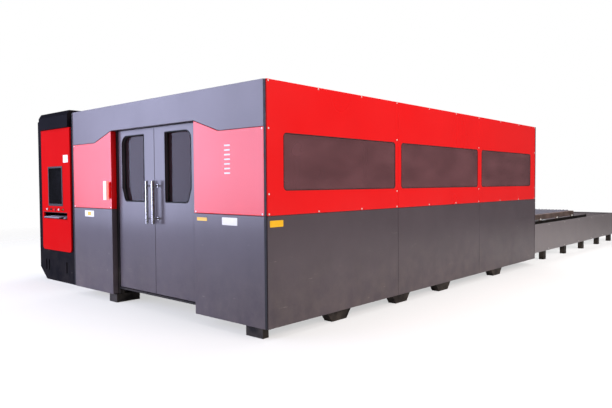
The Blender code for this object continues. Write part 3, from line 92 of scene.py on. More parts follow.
def add(tree, kind, inputs=None, **properties):
    """Add a node; an input is set to a value or linked from a socket."""
    node = tree.nodes.new(kind)
    for key, value in properties.items():
        setattr(node, key, value)
    for key, value in (inputs or {}).items():
        socket = node.inputs[key]
        if isinstance(value, bpy.types.NodeSocket):
            tree.links.new(value, socket)
        else:
            socket.default_value = value
    return node


def maths(tree, operation, first, second):
    """A Math node's output."""
    return add(tree, "ShaderNodeMath", {0: first, 1: second}, operation=operation).outputs[0]


def times(tree, first, second):
    """The product of two values."""
    return maths(tree, "MULTIPLY", first, second)


def vector(tree, parts):
    """A vector from some of its parts, given by axis number."""
    return add(tree, "ShaderNodeCombineXYZ", parts).outputs[0]


def linear(channel):
    """Turn an sRGB channel from 0 to 255 into a linear value."""
    value = channel / 255.0
    if value <= 0.04045:
        return value / 12.92
    return ((value + 0.055) / 1.055) ** 2.4


def tone(colour, factor=1.0):
    """An sRGB colour as linear RGBA, brightened or darkened by a factor."""
    return [min(1.0, linear(channel) * factor) for channel in colour] + [1.0]


def blend_colours(tree, factor, first, second):
    """Mix two colours."""
    mix = add(tree, "ShaderNodeMix", {0: factor, 6: first, 7: second}, data_type="RGBA")
    return mix.outputs[2]


def shades(tree, factor, colour, dark, bright):
    """A colour that changes between a darker and a brighter shade of itself."""
    return blend_colours(tree, factor, tone(colour, dark), tone(colour, bright))


def noise(tree, place, scale, detail=3.0, roughness=0.5):
    """A noise pattern's value."""
    made = add(tree, "ShaderNodeTexNoise",
               {"Vector": place, "Scale": scale, "Detail": detail, "Roughness": roughness})
    return made.outputs[0]


def remap(tree, value, low, high, to_low=0.0, to_high=1.0):
    """Map a range of values to another, clamped."""
    made = add(tree, "ShaderNodeMapRange", {0: value, 1: low, 2: high, 3: to_low, 4: to_high})
    return made.outputs[0]


def stretched(tree, place, scale):
    """Coordinates scaled by a different amount along each axis."""
    return add(tree, "ShaderNodeMapping", {"Vector": place, "Scale": scale}).outputs[0]


# Materials

DUST = (150, 138, 126)
BARE_SCUFF = (186, 176, 168)
OIL_STAIN = (92, 66, 48)
RUST = (118, 84, 62)
BARE_SCRATCH = (176, 172, 168)
SCREEN_BLOOM = (26, 27, 32)
SMOOTHEST = 0.03
# Share of the panels' red kept on the operator panel: the darker console red is painted shade.
CONSOLE_SHADE_SHARE = 0.88


def start_material(name):
    """A new material with its tree, its Principled shader and the object's coordinates."""
    made = bpy.data.materials.new(name)
    made.use_nodes = True
    tree = made.node_tree
    shader = tree.nodes["Principled BSDF"]
    place = add(tree, "ShaderNodeTexCoord").outputs["Object"]
    return made, tree, shader, place


def dress(tree, shader, base, gloss):
    """Link a base colour and a roughness to the shader."""
    tree.links.new(base, shader.inputs["Base Color"])
    tree.links.new(gloss, shader.inputs["Roughness"])


def emboss(tree, shader, height, strength, distance):
    """Tilt the surface by a height pattern."""
    bump = add(tree, "ShaderNodeBump",
               {"Height": height, "Strength": strength, "Distance": distance})
    tree.links.new(bump.outputs[0], shader.inputs["Normal"])


def paint(name, colour, roughness=0.3, coat=0.5, coat_roughness=0.3, mottle=0.05, peel=0.10,
          grime=0.0, scuffs=0.0, specular=0.5):
    """Powder coat: broad tone changes, orange peel, dust near the floor and scuffs."""
    made, tree, shader, place = start_material(name)
    broad = noise(tree, place, scale=0.9, detail=4.0)
    patches = noise(tree, place, scale=7.0, detail=5.0, roughness=0.6)
    clouds = noise(tree, stretched(tree, place, (1.0, 1.0, 0.7)), scale=3.2, roughness=0.55)
    spread = times(tree, maths(tree, "ADD", remap(tree, broad, 0.3, 0.7),
                               remap(tree, clouds, 0.3, 0.7)), 0.5)
    base = shades(tree, spread, colour, 1 - mottle, 1 + mottle)
    height = add(tree, "ShaderNodeSeparateXYZ", {0: place}).outputs["Z"]
    if grime:
        low = remap(tree, height, 0.05, 0.75, 1.0, 0.0)
        dust = times(tree, times(tree, low, remap(tree, patches, 0.35, 0.75)), grime)
        base = blend_colours(tree, dust, base, tone(DUST))
    if scuffs:
        streaks = noise(tree, stretched(tree, place, (2.5, 2.5, 22.0)), scale=2.2, detail=6.0,
                        roughness=0.65)
        zone = times(tree, remap(tree, patches, 0.52, 0.66),
                     remap(tree, height, 0.15, 1.0, 1.0, 0.15))
        marks = times(tree, times(tree, remap(tree, streaks, 0.64, 0.72), zone), scuffs)
        base = blend_colours(tree, marks, base, tone(BARE_SCUFF))
    sheen = noise(tree, place, scale=1.7, detail=1.0)
    dress(tree, shader, base, remap(tree, sheen, 0.3, 0.7, roughness - 0.03, roughness + 0.05))
    shader.inputs["Specular IOR Level"].default_value = specular
    shader.inputs["Coat Weight"].default_value = coat
    shader.inputs["Coat Roughness"].default_value = coat_roughness
    grain = noise(tree, place, scale=420.0, detail=2.0)
    wave = noise(tree, place, scale=3.0, detail=2.0)
    emboss(tree, shader, maths(tree, "ADD", times(tree, grain, 0.02), wave), peel,
           distance=0.004)
    return made


def metal(name, colour, roughness=0.3, grain=(60.0, 60.0, 4.0), stain=0.0, metallic=1.0):
    """Bare metal: brushing along one axis, tone changes and heat or oil stains."""
    made, tree, shader, place = start_material(name)
    lines = noise(tree, stretched(tree, place, grain), scale=6.0, detail=4.0, roughness=0.6)
    base = shades(tree, remap(tree, lines, 0.3, 0.7), colour, 0.86, 1.08)
    if stain:
        patches = noise(tree, place, scale=5.0, detail=5.0, roughness=0.6)
        marks = times(tree, remap(tree, patches, 0.45, 0.7), stain)
        base = blend_colours(tree, marks, base, tone(OIL_STAIN))
    dress(tree, shader, base,
          remap(tree, lines, 0.25, 0.75, max(SMOOTHEST, roughness - 0.08), roughness + 0.1))
    shader.inputs["Metallic"].default_value = metallic
    emboss(tree, shader, lines, strength=0.12, distance=0.0006)
    return made


def plastic(name, colour, roughness=0.4, texture=500.0, depth=0.12, coat=0.0):
    """Moulded plastic or rubber: fine texture and faint handling marks."""
    made, tree, shader, place = start_material(name)
    patches = noise(tree, place, scale=14.0, detail=4.0, roughness=0.6)
    dress(tree, shader, shades(tree, patches, colour, 0.9, 1.1),
          remap(tree, patches, 0.3, 0.7, max(SMOOTHEST, roughness - 0.06), roughness + 0.07))
    shader.inputs["Coat Weight"].default_value = coat
    emboss(tree, shader, noise(tree, place, scale=texture, detail=2.0), depth, distance=0.0004)
    return made


def glass(name, colour, roughness=0.03, cover=0.75, specular=0.5):
    """Tinted pane that covers part of what is behind it, with a smear and a slight wave."""
    made, tree, shader, place = start_material(name)
    smear = noise(tree, stretched(tree, place, (1.0, 1.0, 2.4)), scale=2.6, detail=1.0)
    dress(tree, shader, shades(tree, remap(tree, smear, 0.3, 0.7), colour, 0.86, 1.14),
          remap(tree, smear, 0.4, 0.75, roughness, roughness + 0.06))
    shader.inputs["Alpha"].default_value = cover
    shader.inputs["Specular IOR Level"].default_value = specular
    emboss(tree, shader, noise(tree, place, scale=1.6, detail=2.0), strength=0.06,
           distance=0.01)
    return made


def mill_scale(name, colour, spatter):
    """Hot-rolled or flame-marked steel: blotches, pits, slag specks and pale scratches."""
    made, tree, shader, place = start_material(name)
    blotch = noise(tree, place, scale=4.0, detail=6.0, roughness=0.65)
    specks = noise(tree, place, scale=55.0, detail=4.0, roughness=0.7)
    scratch = noise(tree, stretched(tree, place, (3.0, 3.0, 40.0)), scale=4.0, detail=5.0,
                    roughness=0.7)
    base = shades(tree, remap(tree, blotch, 0.35, 0.65), colour, 0.7, 1.25)
    rust = times(tree, remap(tree, specks, 0.55, 0.75), spatter)
    base = blend_colours(tree, rust, base, tone(RUST))
    base = blend_colours(tree, remap(tree, scratch, 0.66, 0.74, 0.0, 0.5), base,
                         tone(BARE_SCRATCH))
    dress(tree, shader, base, remap(tree, blotch, 0.3, 0.7, 0.36, 0.62))
    shader.inputs["Metallic"].default_value = 0.6
    emboss(tree, shader, specks, strength=0.25, distance=0.001)
    return made


def screen_face(name, colour):
    """Display that is switched off: near black, with a paler dusty bloom."""
    made, tree, shader, place = start_material(name)
    bloom = noise(tree, place, scale=3.0)
    smear = noise(tree, place, scale=30.0, detail=4.0)
    base = blend_colours(tree, remap(tree, bloom, 0.4, 0.7, 0.0, 0.4), tone(colour),
                         tone(SCREEN_BLOOM))
    dress(tree, shader, base, remap(tree, smear, 0.4, 0.7, 0.10, 0.17))
    shader.inputs["Specular IOR Level"].default_value = 0.08
    return made


def channels(colour, share=1.0):
    """A colour property's values, from 0 to 1 in sRGB, as a share of channels up to 255."""
    return tuple(channel * 255.0 * share for channel in colour)


def finishes():
    """The material of each of the record's slots, and of the small trim."""
    colours = bpy.context.scene.laser_colours
    label = dict(texture=240.0, depth=0.08, coat=0.2)
    table = {
        "signal_red": (paint, channels(colours.red), dict(
            coat=0.55, coat_roughness=0.12, mottle=0.03, grime=0.06, specular=0.35)),
        # The panels' red paint darkened for the operator panel and the switch housing: painted
        # shade.
        "console_red": (paint, channels(colours.red, CONSOLE_SHADE_SHARE), dict(
            roughness=0.55, coat=0.0, coat_roughness=0.2, mottle=0.03, grime=0.05,
            specular=0.02)),
        "slate_grey": (paint, channels(colours.slate), dict(
            roughness=0.36, coat=0.36, coat_roughness=0.16, mottle=0.15, peel=0.12, grime=0.20,
            scuffs=0.60)),
        "frame_black": (paint, (16, 12, 12), dict(
            roughness=0.52, coat=0.05, mottle=0.10, peel=0.25, grime=0.22, scuffs=0.2,
            specular=0.25)),
        "console_dark": (paint, channels(colours.console), dict(
            roughness=0.6, coat=0.0, mottle=0.06, peel=0.16, grime=0.06, scuffs=0.10,
            specular=0.04)),
        "tinted_glass": (glass, (106, 73, 78), dict(roughness=0.02, cover=0.80)),
        "clear_glass": (glass, (52, 42, 46), dict(cover=0.62, specular=0.17)),
        "stainless": (metal, (206, 205, 202), dict(roughness=0.22, grain=(90.0, 90.0, 3.0))),
        "machined_steel": (metal, (158, 160, 164), dict(grain=(6.0, 60.0, 60.0))),
        "mill_steel": (mill_scale, (156, 138, 132), dict(spatter=0.3)),
        "table_grey": (paint, channels(colours.table), dict(
            roughness=0.38, coat=0.3, coat_roughness=0.2, mottle=0.07, peel=0.14, grime=0.22,
            scuffs=0.3)),
        "bed_grey": (paint, (92, 94, 100), dict(
            roughness=0.48, coat=0.15, mottle=0.08, peel=0.2, grime=0.3, scuffs=0.2)),
        "gantry_white": (paint, (204, 206, 209), dict(
            roughness=0.34, coat=0.3, coat_roughness=0.15, mottle=0.03)),
        "screen_black": (screen_face, (8, 8, 10), {}),
        "key_grey": (plastic, (138, 139, 146), dict(roughness=0.45)),
        "cap_white": (plastic, (232, 229, 226), dict(roughness=0.32, coat=0.3)),
        "cap_black": (plastic, (26, 26, 28), dict(roughness=0.42)),
        "cap_red": (plastic, (206, 18, 20), dict(roughness=0.30, coat=0.4)),
        "key_brass": (metal, (206, 172, 92), dict(roughness=0.26, grain=(40.0, 40.0, 8.0))),
        "head_black": (paint, (24, 24, 27), dict(
            roughness=0.36, coat=0.1, mottle=0.06, peel=0.12)),
        "slat_steel": (mill_scale, (104, 104, 116), dict(spatter=0.5)),
        "wheel_steel": (metal, (196, 194, 190), dict(
            roughness=0.34, grain=(50.0, 6.0, 50.0), stain=0.25)),
        "plate_orange": (plastic, (232, 104, 28), dict(roughness=0.38, **label)),
        "screw_zinc": (metal, (238, 237, 232), dict(
            roughness=0.34, grain=(30.0, 30.0, 30.0), metallic=0.25)),
        # Black rubber of the seals and trims; the same black on the corner strips is painted
        # shade for a shadow gap.
        "seal_rubber": (plastic, (20, 20, 21), dict(roughness=0.62, texture=300.0, depth=0.25)),
        "plate_yellow": (plastic, (246, 190, 22), dict(roughness=0.36, **label)),
        "plate_white": (plastic, (238, 236, 228), dict(roughness=0.38, **label)),
        "ring_chrome": (metal, (212, 211, 208), dict(roughness=0.14, grain=(20.0, 60.0, 60.0))),
        # Key tops, made pale so they read as lit inside the slot's shade: painted light.
        "key_dark": (plastic, (168, 164, 170), dict(roughness=0.5)),
    }
    return {name: maker(name, colour, **settings)
            for name, (maker, colour, settings) in table.items()}


LOOKS = {}


def look(name):
    """A finish by its name; all are made at the first call."""
    if not LOOKS:
        LOOKS.update(finishes())
    return LOOKS[name]


# Meshes

PLANES = {
    "end": Matrix(((0, 0, 1), (1, 0, 0), (0, 1, 0))),
    "side": Matrix(((1, 0, 0), (0, 0, -1), (0, 1, 0))),
    "flat": Matrix.Identity(3),
}
NORMALS = {"end": Vector((1, 0, 0)), "side": Vector((0, 1, 0)), "flat": Vector((0, 0, 1))}
WELD = 0.00002
SMOOTH_ANGLE = math.radians(40)
EDGE_ANGLE = math.radians(35)


def temporary(data):
    """Link a mesh or a curve as a working object."""
    obj = bpy.data.objects.new("work", data)
    bpy.context.scene.collection.objects.link(obj)
    return obj


def evaluated(obj):
    """The evaluated mesh of a working object with its place applied; the object is removed."""
    bpy.context.view_layer.update()
    graph = bpy.context.evaluated_depsgraph_get()
    mesh = bpy.data.meshes.new_from_object(obj.evaluated_get(graph), depsgraph=graph)
    mesh.transform(obj.matrix_world)
    bpy.data.objects.remove(obj, do_unlink=True)
    return mesh


def weld(work):
    """Merge doubles and turn the faces outwards."""
    bmesh.ops.remove_doubles(work, verts=work.verts, dist=WELD)
    bmesh.ops.recalc_face_normals(work, faces=work.faces)


def written(work, mesh):
    """Write working geometry into a mesh."""
    work.to_mesh(mesh)
    work.free()
    return mesh


def welded(mesh):
    """A mesh without doubles, its faces turned outwards."""
    work = bmesh.new()
    work.from_mesh(mesh)
    weld(work)
    return written(work, mesh)


def merged(meshes):
    """Several meshes as one."""
    work = bmesh.new()
    for mesh in meshes:
        work.from_mesh(mesh)
    return written(work, bpy.data.meshes.new("merged"))


def piece(name, mesh, body, slot, finish=None, replaces=(), smooth=False):
    """Turn a mesh in machine coordinates into a finished piece that rides on a body."""
    mesh.transform(Matrix.Translation(ORIGIN))
    mesh.materials.clear()
    mesh.materials.append(look(finish or slot))
    mesh.name = name
    if smooth:
        mesh.shade_smooth()
        mesh.set_sharp_from_angle(angle=SMOOTH_ANGLE)
    obj = bpy.data.objects.new(name, mesh)
    bpy.context.scene.collection.objects.link(obj)
    if smooth:
        normals = obj.modifiers.new("normals", "WEIGHTED_NORMAL")
        normals.keep_sharp = True
    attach(obj, body)
    if replaces:
        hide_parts(*replaces)
    return obj


def rectangle(u_low, u_high, v_low, v_high):
    """Four corners, counter-clockwise."""
    return [(u_low, v_low), (u_high, v_low), (u_high, v_high), (u_low, v_high)]


def rounded(outline, radii, steps=8):
    """Round an outline's corners, one radius for each corner."""
    points = []
    count = len(outline)
    for index, radius in enumerate(radii):
        corner = Vector(outline[index])
        if radius <= 0:
            points.append(tuple(corner))
            continue
        back = (Vector(outline[index - 1]) - corner).normalized()
        ahead = (Vector(outline[(index + 1) % count]) - corner).normalized()
        half = back.angle(ahead) / 2
        centre = corner + (back + ahead).normalized() * (radius / math.sin(half))
        first = corner + back * (radius / math.tan(half)) - centre
        last = corner + ahead * (radius / math.tan(half)) - centre
        sweep = first.angle_signed(last)
        for step in range(steps + 1):
            spin = Matrix.Rotation(-sweep * step / steps, 2)
            points.append(tuple(centre + spin @ first))
    return points


def round_box(u_low, u_high, v_low, v_high, radius, steps=8):
    """A rectangle with four equal round corners."""
    return rounded(rectangle(u_low, u_high, v_low, v_high), [radius] * 4, steps)


def circle(u, v, radius, sides=40):
    """A round outline."""
    return [(u + radius * math.cos(2 * math.pi * index / sides),
             v + radius * math.sin(2 * math.pi * index / sides)) for index in range(sides)]


def drawn(curve, outlines, plane, place):
    """The mesh of a curve along closed outlines in a plane, at a place on its normal."""
    for outline in outlines:
        spline = curve.splines.new("POLY")
        spline.points.add(len(outline) - 1)
        for point, (u, v) in zip(spline.points, outline):
            point.co = (u, v, 0.0, 1.0)
        spline.use_cyclic_u = True
    obj = temporary(curve)
    obj.matrix_world = Matrix.Translation(NORMALS[plane] * place) @ PLANES[plane].to_4x4()
    return welded(evaluated(obj))


def slab_mesh(outlines, low, high, plane):
    """Extrude an outline with holes between two places along the plane's normal."""
    curve = bpy.data.curves.new("slab", "CURVE")
    curve.dimensions = "2D"
    curve.fill_mode = "BOTH"
    curve.extrude = (high - low) / 2
    return drawn(curve, outlines, plane, (low + high) / 2)


def cord(outline, radius, plane, place):
    """A round cord laid along a closed outline."""
    curve = bpy.data.curves.new("cord", "CURVE")
    curve.dimensions = "3D"
    curve.bevel_depth = radius
    curve.bevel_resolution = 3
    return drawn(curve, [outline], plane, place)


def round_edges(obj, width, segments, angle):
    """Bevel an object's edges that are sharper than an angle."""
    bevel = obj.modifiers.new("edges", "BEVEL")
    bevel.width = width
    bevel.segments = segments
    bevel.limit_method = "ANGLE"
    bevel.angle_limit = angle


def bevelled(mesh, width, segments):
    """Round a mesh's sharp edges."""
    obj = temporary(mesh)
    round_edges(obj, width, segments, EDGE_ANGLE)
    return evaluated(obj)


def slab(outlines, low, high, plane, edge, segments=2):
    """A solid plate with rounded edges."""
    return bevelled(slab_mesh(outlines, low, high, plane), edge, segments)


def block(low, high, edge):
    """A box with rounded edges between two corners."""
    outline = rectangle(low[0], high[0], low[1], high[1])
    return slab([outline], low[2], high[2], "flat", edge)


def folded(outline, face, depth, plane, holes=()):
    """A sheet panel: rounded folds run from the visible face towards face + depth."""
    low, high = sorted((face, face + depth))
    mesh = slab_mesh([outline] + list(holes), low, high, plane)
    axis = NORMALS[plane]
    sign = math.copysign(1.0, depth)
    hole_points = {(round(u, 5), round(v, 5)) for hole in holes for u, v in hole}
    inverse = PLANES[plane].inverted()
    work = bmesh.new()
    work.from_mesh(mesh)
    unwanted = []
    for each in work.faces:
        along = each.normal.dot(axis) * sign
        back = along > 0.9
        rim = abs(along) < 0.1
        flat = [inverse @ vert.co for vert in each.verts] if rim else []
        if back or rim and all((round(p.x, 5), round(p.y, 5)) in hole_points for p in flat):
            unwanted.append(each)
    bmesh.ops.delete(work, geom=unwanted, context="FACES")
    obj = temporary(bevelled(written(work, mesh), FOLD, 3))
    wall = obj.modifiers.new("wall", "SOLIDIFY")
    wall.thickness = SHEET
    wall.offset = -1.0
    wall.use_even_offset = True
    return evaluated(obj)


def sheet(node, outline, face, depth, plane, slot, holes=()):
    """The folded sheet that takes the place of a panel of the model."""
    piece(node + "_sheet", folded(outline, face, depth, plane, holes), "machine", slot,
          replaces=(node,), smooth=True)


def lathe(profile, base, direction, sides):
    """Turn a (radius, height) profile about an axis."""
    work = bmesh.new()
    verts = [work.verts.new((radius, 0.0, height)) for radius, height in profile]
    edges = [work.edges.new(pair) for pair in zip(verts, verts[1:])]
    bmesh.ops.spin(work, geom=verts + edges, cent=(0, 0, 0), axis=(0, 0, 1),
                   angle=2 * math.pi, steps=sides, use_duplicate=False)
    weld(work)
    mesh = written(work, bpy.data.meshes.new("lathe"))
    turn = Vector((0, 0, 1)).rotation_difference(Vector(direction)).to_matrix().to_4x4()
    mesh.transform(Matrix.Translation(base) @ turn)
    return mesh


def bar(start, end, radius, sides, edge):
    """A round bar with broken end edges."""
    start = Vector(start)
    axis = Vector(end) - start
    length = axis.length
    profile = [(0.0, 0.0), (radius - edge, 0.0), (radius, edge), (radius, length - edge),
               (radius - edge, length), (0.0, length)]
    return lathe(profile, start, axis.normalized(), sides)


# Geometry Nodes

SCREW_HEIGHT = 0.0028
SCREW_SEAT = -0.001
SLAT_WELD = 0.00001
SLAT_LEAN = (0.0, 0.02, 0.0006)


def new_tree(name, inputs):
    """A geometry tree with named inputs, given as (name, kind, default)."""
    tree = bpy.data.node_groups.new(name, "GeometryNodeTree")
    tree.interface.new_socket("Geometry", in_out="INPUT", socket_type="NodeSocketGeometry")
    for label, kind, default in inputs:
        socket = tree.interface.new_socket(label, in_out="INPUT",
                                           socket_type="NodeSocket" + kind)
        if default is not None:
            socket.default_value = default
    tree.interface.new_socket("Geometry", in_out="OUTPUT", socket_type="NodeSocketGeometry")
    return tree, tree.nodes.new("NodeGroupInput").outputs


def close_tree(tree, geometry, material):
    """End a tree in Realize Instances and Set Material."""
    whole = add(tree, "GeometryNodeRealizeInstances", {"Geometry": geometry}).outputs[0]
    painted = add(tree, "GeometryNodeSetMaterial", {"Geometry": whole, "Material": material})
    end = tree.nodes.new("NodeGroupOutput")
    tree.links.new(painted.outputs[0], end.inputs["Geometry"])


def grown(tree, mesh, values):
    """Run a tree on a mesh and return the plain mesh that it makes."""
    obj = temporary(mesh)
    modifier = obj.modifiers.new("tree", "NODES")
    modifier.node_group = tree
    for item in tree.interface.items_tree:
        if item.in_out == "INPUT" and item.name in values:
            modifier[item.identifier] = values[item.name]
    return evaluated(obj)


def point_mesh(places):
    """A mesh of loose points."""
    mesh = bpy.data.meshes.new("points")
    mesh.from_pydata(places, [], [])
    return mesh


def screw_template(radius, height):
    """Pan-head screw with a washer and a round recess, head up, on its seat at zero."""
    profile = [(0.0, height * 0.45), (radius * 0.45, height * 0.45), (radius * 0.45, height),
               (radius * 0.72, height), (radius * 0.95, height * 0.7), (radius, height * 0.35),
               (radius, height * 0.22), (radius * 1.35, height * 0.22), (radius * 1.4, 0.0),
               (radius * 1.4, SCREW_SEAT), (0.0, SCREW_SEAT)]
    return lathe(profile, (0, 0, 0), (0, 0, 1), 18)


def screw_mesh(places, seed):
    """Screws at (point, outward direction) places, each turned by chance about its axis."""
    radius = bpy.context.scene.laser_sizes.screw_radius
    template = temporary(screw_template(radius, SCREW_HEIGHT))
    points = point_mesh([place for place, _ in places])
    facing = points.attributes.new("facing", "FLOAT_VECTOR", "POINT")
    facing.data.foreach_set("vector", [value for _, way in places for value in way])
    tree, inputs = new_tree("screw_rows", [("Screw", "Object", None), ("Seed", "Int", seed)])
    way = add(tree, "GeometryNodeInputNamedAttribute", {"Name": "facing"},
              data_type="FLOAT_VECTOR").outputs[0]
    turn = add(tree, "FunctionNodeAlignRotationToVector", {"Vector": way}, axis="Z").outputs[0]
    chance = add(tree, "FunctionNodeRandomValue", {2: 0.0, 3: math.pi, 8: inputs["Seed"]},
                 data_type="FLOAT").outputs[1]
    spun = add(tree, "FunctionNodeRotateRotation", {0: turn, 1: vector(tree, {2: chance})},
               rotation_space="LOCAL")
    screw = add(tree, "GeometryNodeObjectInfo", {"Object": inputs["Screw"]})
    cloud = add(tree, "GeometryNodeMeshToPoints", {"Mesh": inputs["Geometry"]}).outputs[0]
    rows = add(tree, "GeometryNodeInstanceOnPoints",
               {"Points": cloud, "Instance": screw.outputs["Geometry"],
                "Rotation": spun.outputs[0]}).outputs[0]
    close_tree(tree, rows, look("screw_zinc"))
    mesh = grown(tree, points, {"Screw": template})
    bpy.data.objects.remove(template, do_unlink=True)
    return welded(mesh)


def slat_tree():
    """Toothed support slats in a row: zigzag line, extruded down and to a thickness."""
    tree, inputs = new_tree("slat_rows", [
        ("Count", "Int", 43), ("Pitch", "Float", 0.09), ("Teeth", "Int", 26),
        ("Width", "Float", 1.9), ("Tooth Height", "Float", 0.03), ("Depth", "Float", 0.08),
        ("Thickness", "Float", 0.004), ("Wear", "Float", 0.002), ("Seed", "Int", 7)])
    points = maths(tree, "ADD", times(tree, inputs["Teeth"], 2.0), 1.0)
    step = maths(tree, "DIVIDE", inputs["Width"], maths(tree, "SUBTRACT", points, 1.0))
    line = add(tree, "GeometryNodeMeshLine", {"Count": points, "Offset": vector(tree, {1: step})},
               mode="OFFSET").outputs[0]
    index = add(tree, "GeometryNodeInputIndex").outputs[0]
    odd = maths(tree, "MODULO", index, 2.0)
    worn = add(tree, "FunctionNodeRandomValue",
               {2: 0.0, 3: inputs["Wear"], 7: index, 8: inputs["Seed"]},
               data_type="FLOAT").outputs[1]
    tip = times(tree, odd, maths(tree, "SUBTRACT", inputs["Tooth Height"], worn))
    zigzag = add(tree, "GeometryNodeSetPosition",
                 {"Geometry": line, "Offset": vector(tree, {2: tip})}).outputs[0]
    down = add(tree, "GeometryNodeExtrudeMesh",
               {"Mesh": zigzag, "Offset": (0.0, 0.0, -1.0), "Offset Scale": inputs["Depth"]},
               mode="EDGES")
    place = add(tree, "GeometryNodeInputPosition").outputs[0]
    parts = add(tree, "ShaderNodeSeparateXYZ", {0: place})
    flat = vector(tree, {0: parts.outputs[0], 1: parts.outputs[1],
                         2: times(tree, inputs["Depth"], -1.0)})
    blade = add(tree, "GeometryNodeSetPosition",
                {"Geometry": down.outputs["Mesh"], "Selection": down.outputs["Top"],
                 "Position": flat}).outputs[0]
    thick = add(tree, "GeometryNodeExtrudeMesh",
                {"Mesh": blade, "Offset": (1.0, 0.0, 0.0), "Offset Scale": inputs["Thickness"],
                 "Individual": False}, mode="FACES").outputs["Mesh"]
    back = add(tree, "GeometryNodeFlipFaces", {"Mesh": blade}).outputs[0]
    both = add(tree, "GeometryNodeJoinGeometry")
    for part in (thick, back):
        tree.links.new(part, both.inputs[0])
    slat = add(tree, "GeometryNodeMergeByDistance",
               {"Geometry": both.outputs[0], "Distance": SLAT_WELD}).outputs[0]
    row = add(tree, "GeometryNodeMeshLine",
              {"Count": inputs["Count"], "Offset": vector(tree, {0: inputs["Pitch"]})},
              mode="OFFSET").outputs[0]
    lean = add(tree, "FunctionNodeRandomValue",
               {0: [-part for part in SLAT_LEAN], 1: SLAT_LEAN, 8: inputs["Seed"]},
               data_type="FLOAT_VECTOR").outputs[0]
    rows = add(tree, "GeometryNodeInstanceOnPoints",
               {"Points": row, "Instance": slat, "Rotation": lean}).outputs[0]
    close_tree(tree, rows, look("slat_steel"))
    return tree


def key_tree():
    """Keys in a grid; the key itself is an object."""
    tree, inputs = new_tree("key_grid", [
        ("Key", "Object", None), ("Columns", "Int", 20), ("Rows", "Int", 6),
        ("Size X", "Float", 0.1), ("Size Y", "Float", 0.4)])
    grid = add(tree, "GeometryNodeMeshGrid",
               {"Size X": inputs["Size X"], "Size Y": inputs["Size Y"],
                "Vertices X": inputs["Rows"], "Vertices Y": inputs["Columns"]}).outputs[0]
    key = add(tree, "GeometryNodeObjectInfo", {"Object": inputs["Key"]})
    rows = add(tree, "GeometryNodeInstanceOnPoints",
               {"Points": grid, "Instance": key.outputs["Geometry"]}).outputs[0]
    close_tree(tree, rows, look("key_dark"))
    return tree


# Long sides, rear and roof

GLASS_LAP = 0.030
WINDOW_RADIUS = 0.035
PANE_LAP = 0.026
PANE_RADIUS = 0.03
PANE_FRONT = PROUD + SHEET + 0.0005
PANE_BACK = PROUD + SHEET + 0.0065
PANE_EDGE = 0.0008
SIDE_SEAL_RADIUS = 0.004
SIDE_SEAL_PLACE = PROUD + 0.001


def side_spans():
    """The start and end along X of each long-side panel."""
    boxes = [machine_box("panel_upper_near_" + number) for number in SECTIONS]
    return [(low.x, high.x) for low, high in boxes]


def side_window(number):
    """Corners of a long-side window in (X, Z)."""
    low, high = machine_box("window_near_" + number)
    return low.x + GLASS_LAP, high.x - GLASS_LAP, low.z + GLASS_LAP, high.z - GLASS_LAP


def build_long_sides():
    """Folded red and grey panels of both long sides, windows and their rubber seals."""
    seals = []
    depth = SIDE_DEPTH - PROUD
    for number, (start, end) in zip(SECTIONS, side_spans()):
        left, right, bottom, top = side_window(number)
        hole = round_box(left, right, bottom, top, WINDOW_RADIUS)
        upper = rectangle(start, end, COLOUR_LINE, TOP)
        lower = rectangle(start, end, FLOOR_GAP, COLOUR_LINE - SEAM)
        for row, outline, slot, near_holes in (("upper", upper, "signal_red", [hole]),
                                               ("lower", lower, "slate_grey", [])):
            for side, face, way, holes in (("near", PROUD, depth, near_holes),
                                           ("far", WIDTH - PROUD, -depth, [])):
                sheet(f"panel_{row}_{side}_{number}", outline, face, way, "side", slot, holes)
        pane = round_box(left - PANE_LAP, right + PANE_LAP, bottom - PANE_LAP, top + PANE_LAP,
                         PANE_RADIUS)
        piece("window_pane_" + number,
              slab([pane], PANE_FRONT, PANE_BACK, "side", PANE_EDGE), "machine",
              "tinted_glass", replaces=("window_near_" + number,), smooth=True)
        seals.append(cord(hole, SIDE_SEAL_RADIUS, "side", SIDE_SEAL_PLACE))
    piece("window_seals", merged(seals), "machine", "cap_black", "seal_rubber", smooth=True)


def build_rear_and_roof():
    """Folded rear wall panels and the roof in three sheets."""
    for name in ("rear_panel_upper", "rear_panel_near", "rear_panel_far"):
        low, high = machine_box(name)
        outline = rectangle(low.y, high.y, low.z, high.z)
        sheet(name, outline, LENGTH - PROUD, PROUD - SIDE_DEPTH, "end", "slate_grey")
    low, high = machine_box("roof_panel")
    step = (high.x - low.x + SEAM) / len(SECTIONS)
    sheets = []
    for index in range(len(SECTIONS)):
        outline = rectangle(low.x + step * index, low.x + step * (index + 1) - SEAM,
                            low.y, high.y)
        sheets.append(folded(outline, high.z, low.z - high.z, "flat"))
    piece("roof_sheets", merged(sheets), "machine", "slate_grey", replaces=("roof_panel",),
          smooth=True)


def build_table_cladding():
    """Folded side panels and end panel of the exchange table."""
    for side, way in (("near", 1.0), ("far", -1.0)):
        low, high = machine_box("table_panel_" + side)
        face = low.y if side == "near" else high.y
        sheet("table_panel_" + side, rectangle(low.x, high.x, low.z, high.z), face,
              way * SIDE_DEPTH, "side", "table_grey")
    low, high = machine_box("table_panel_end")
    sheet("table_panel_end", rectangle(low.y, high.y, low.z, high.z), high.x - PROUD,
          PROUD - SIDE_DEPTH, "end", "table_grey")


# Door end

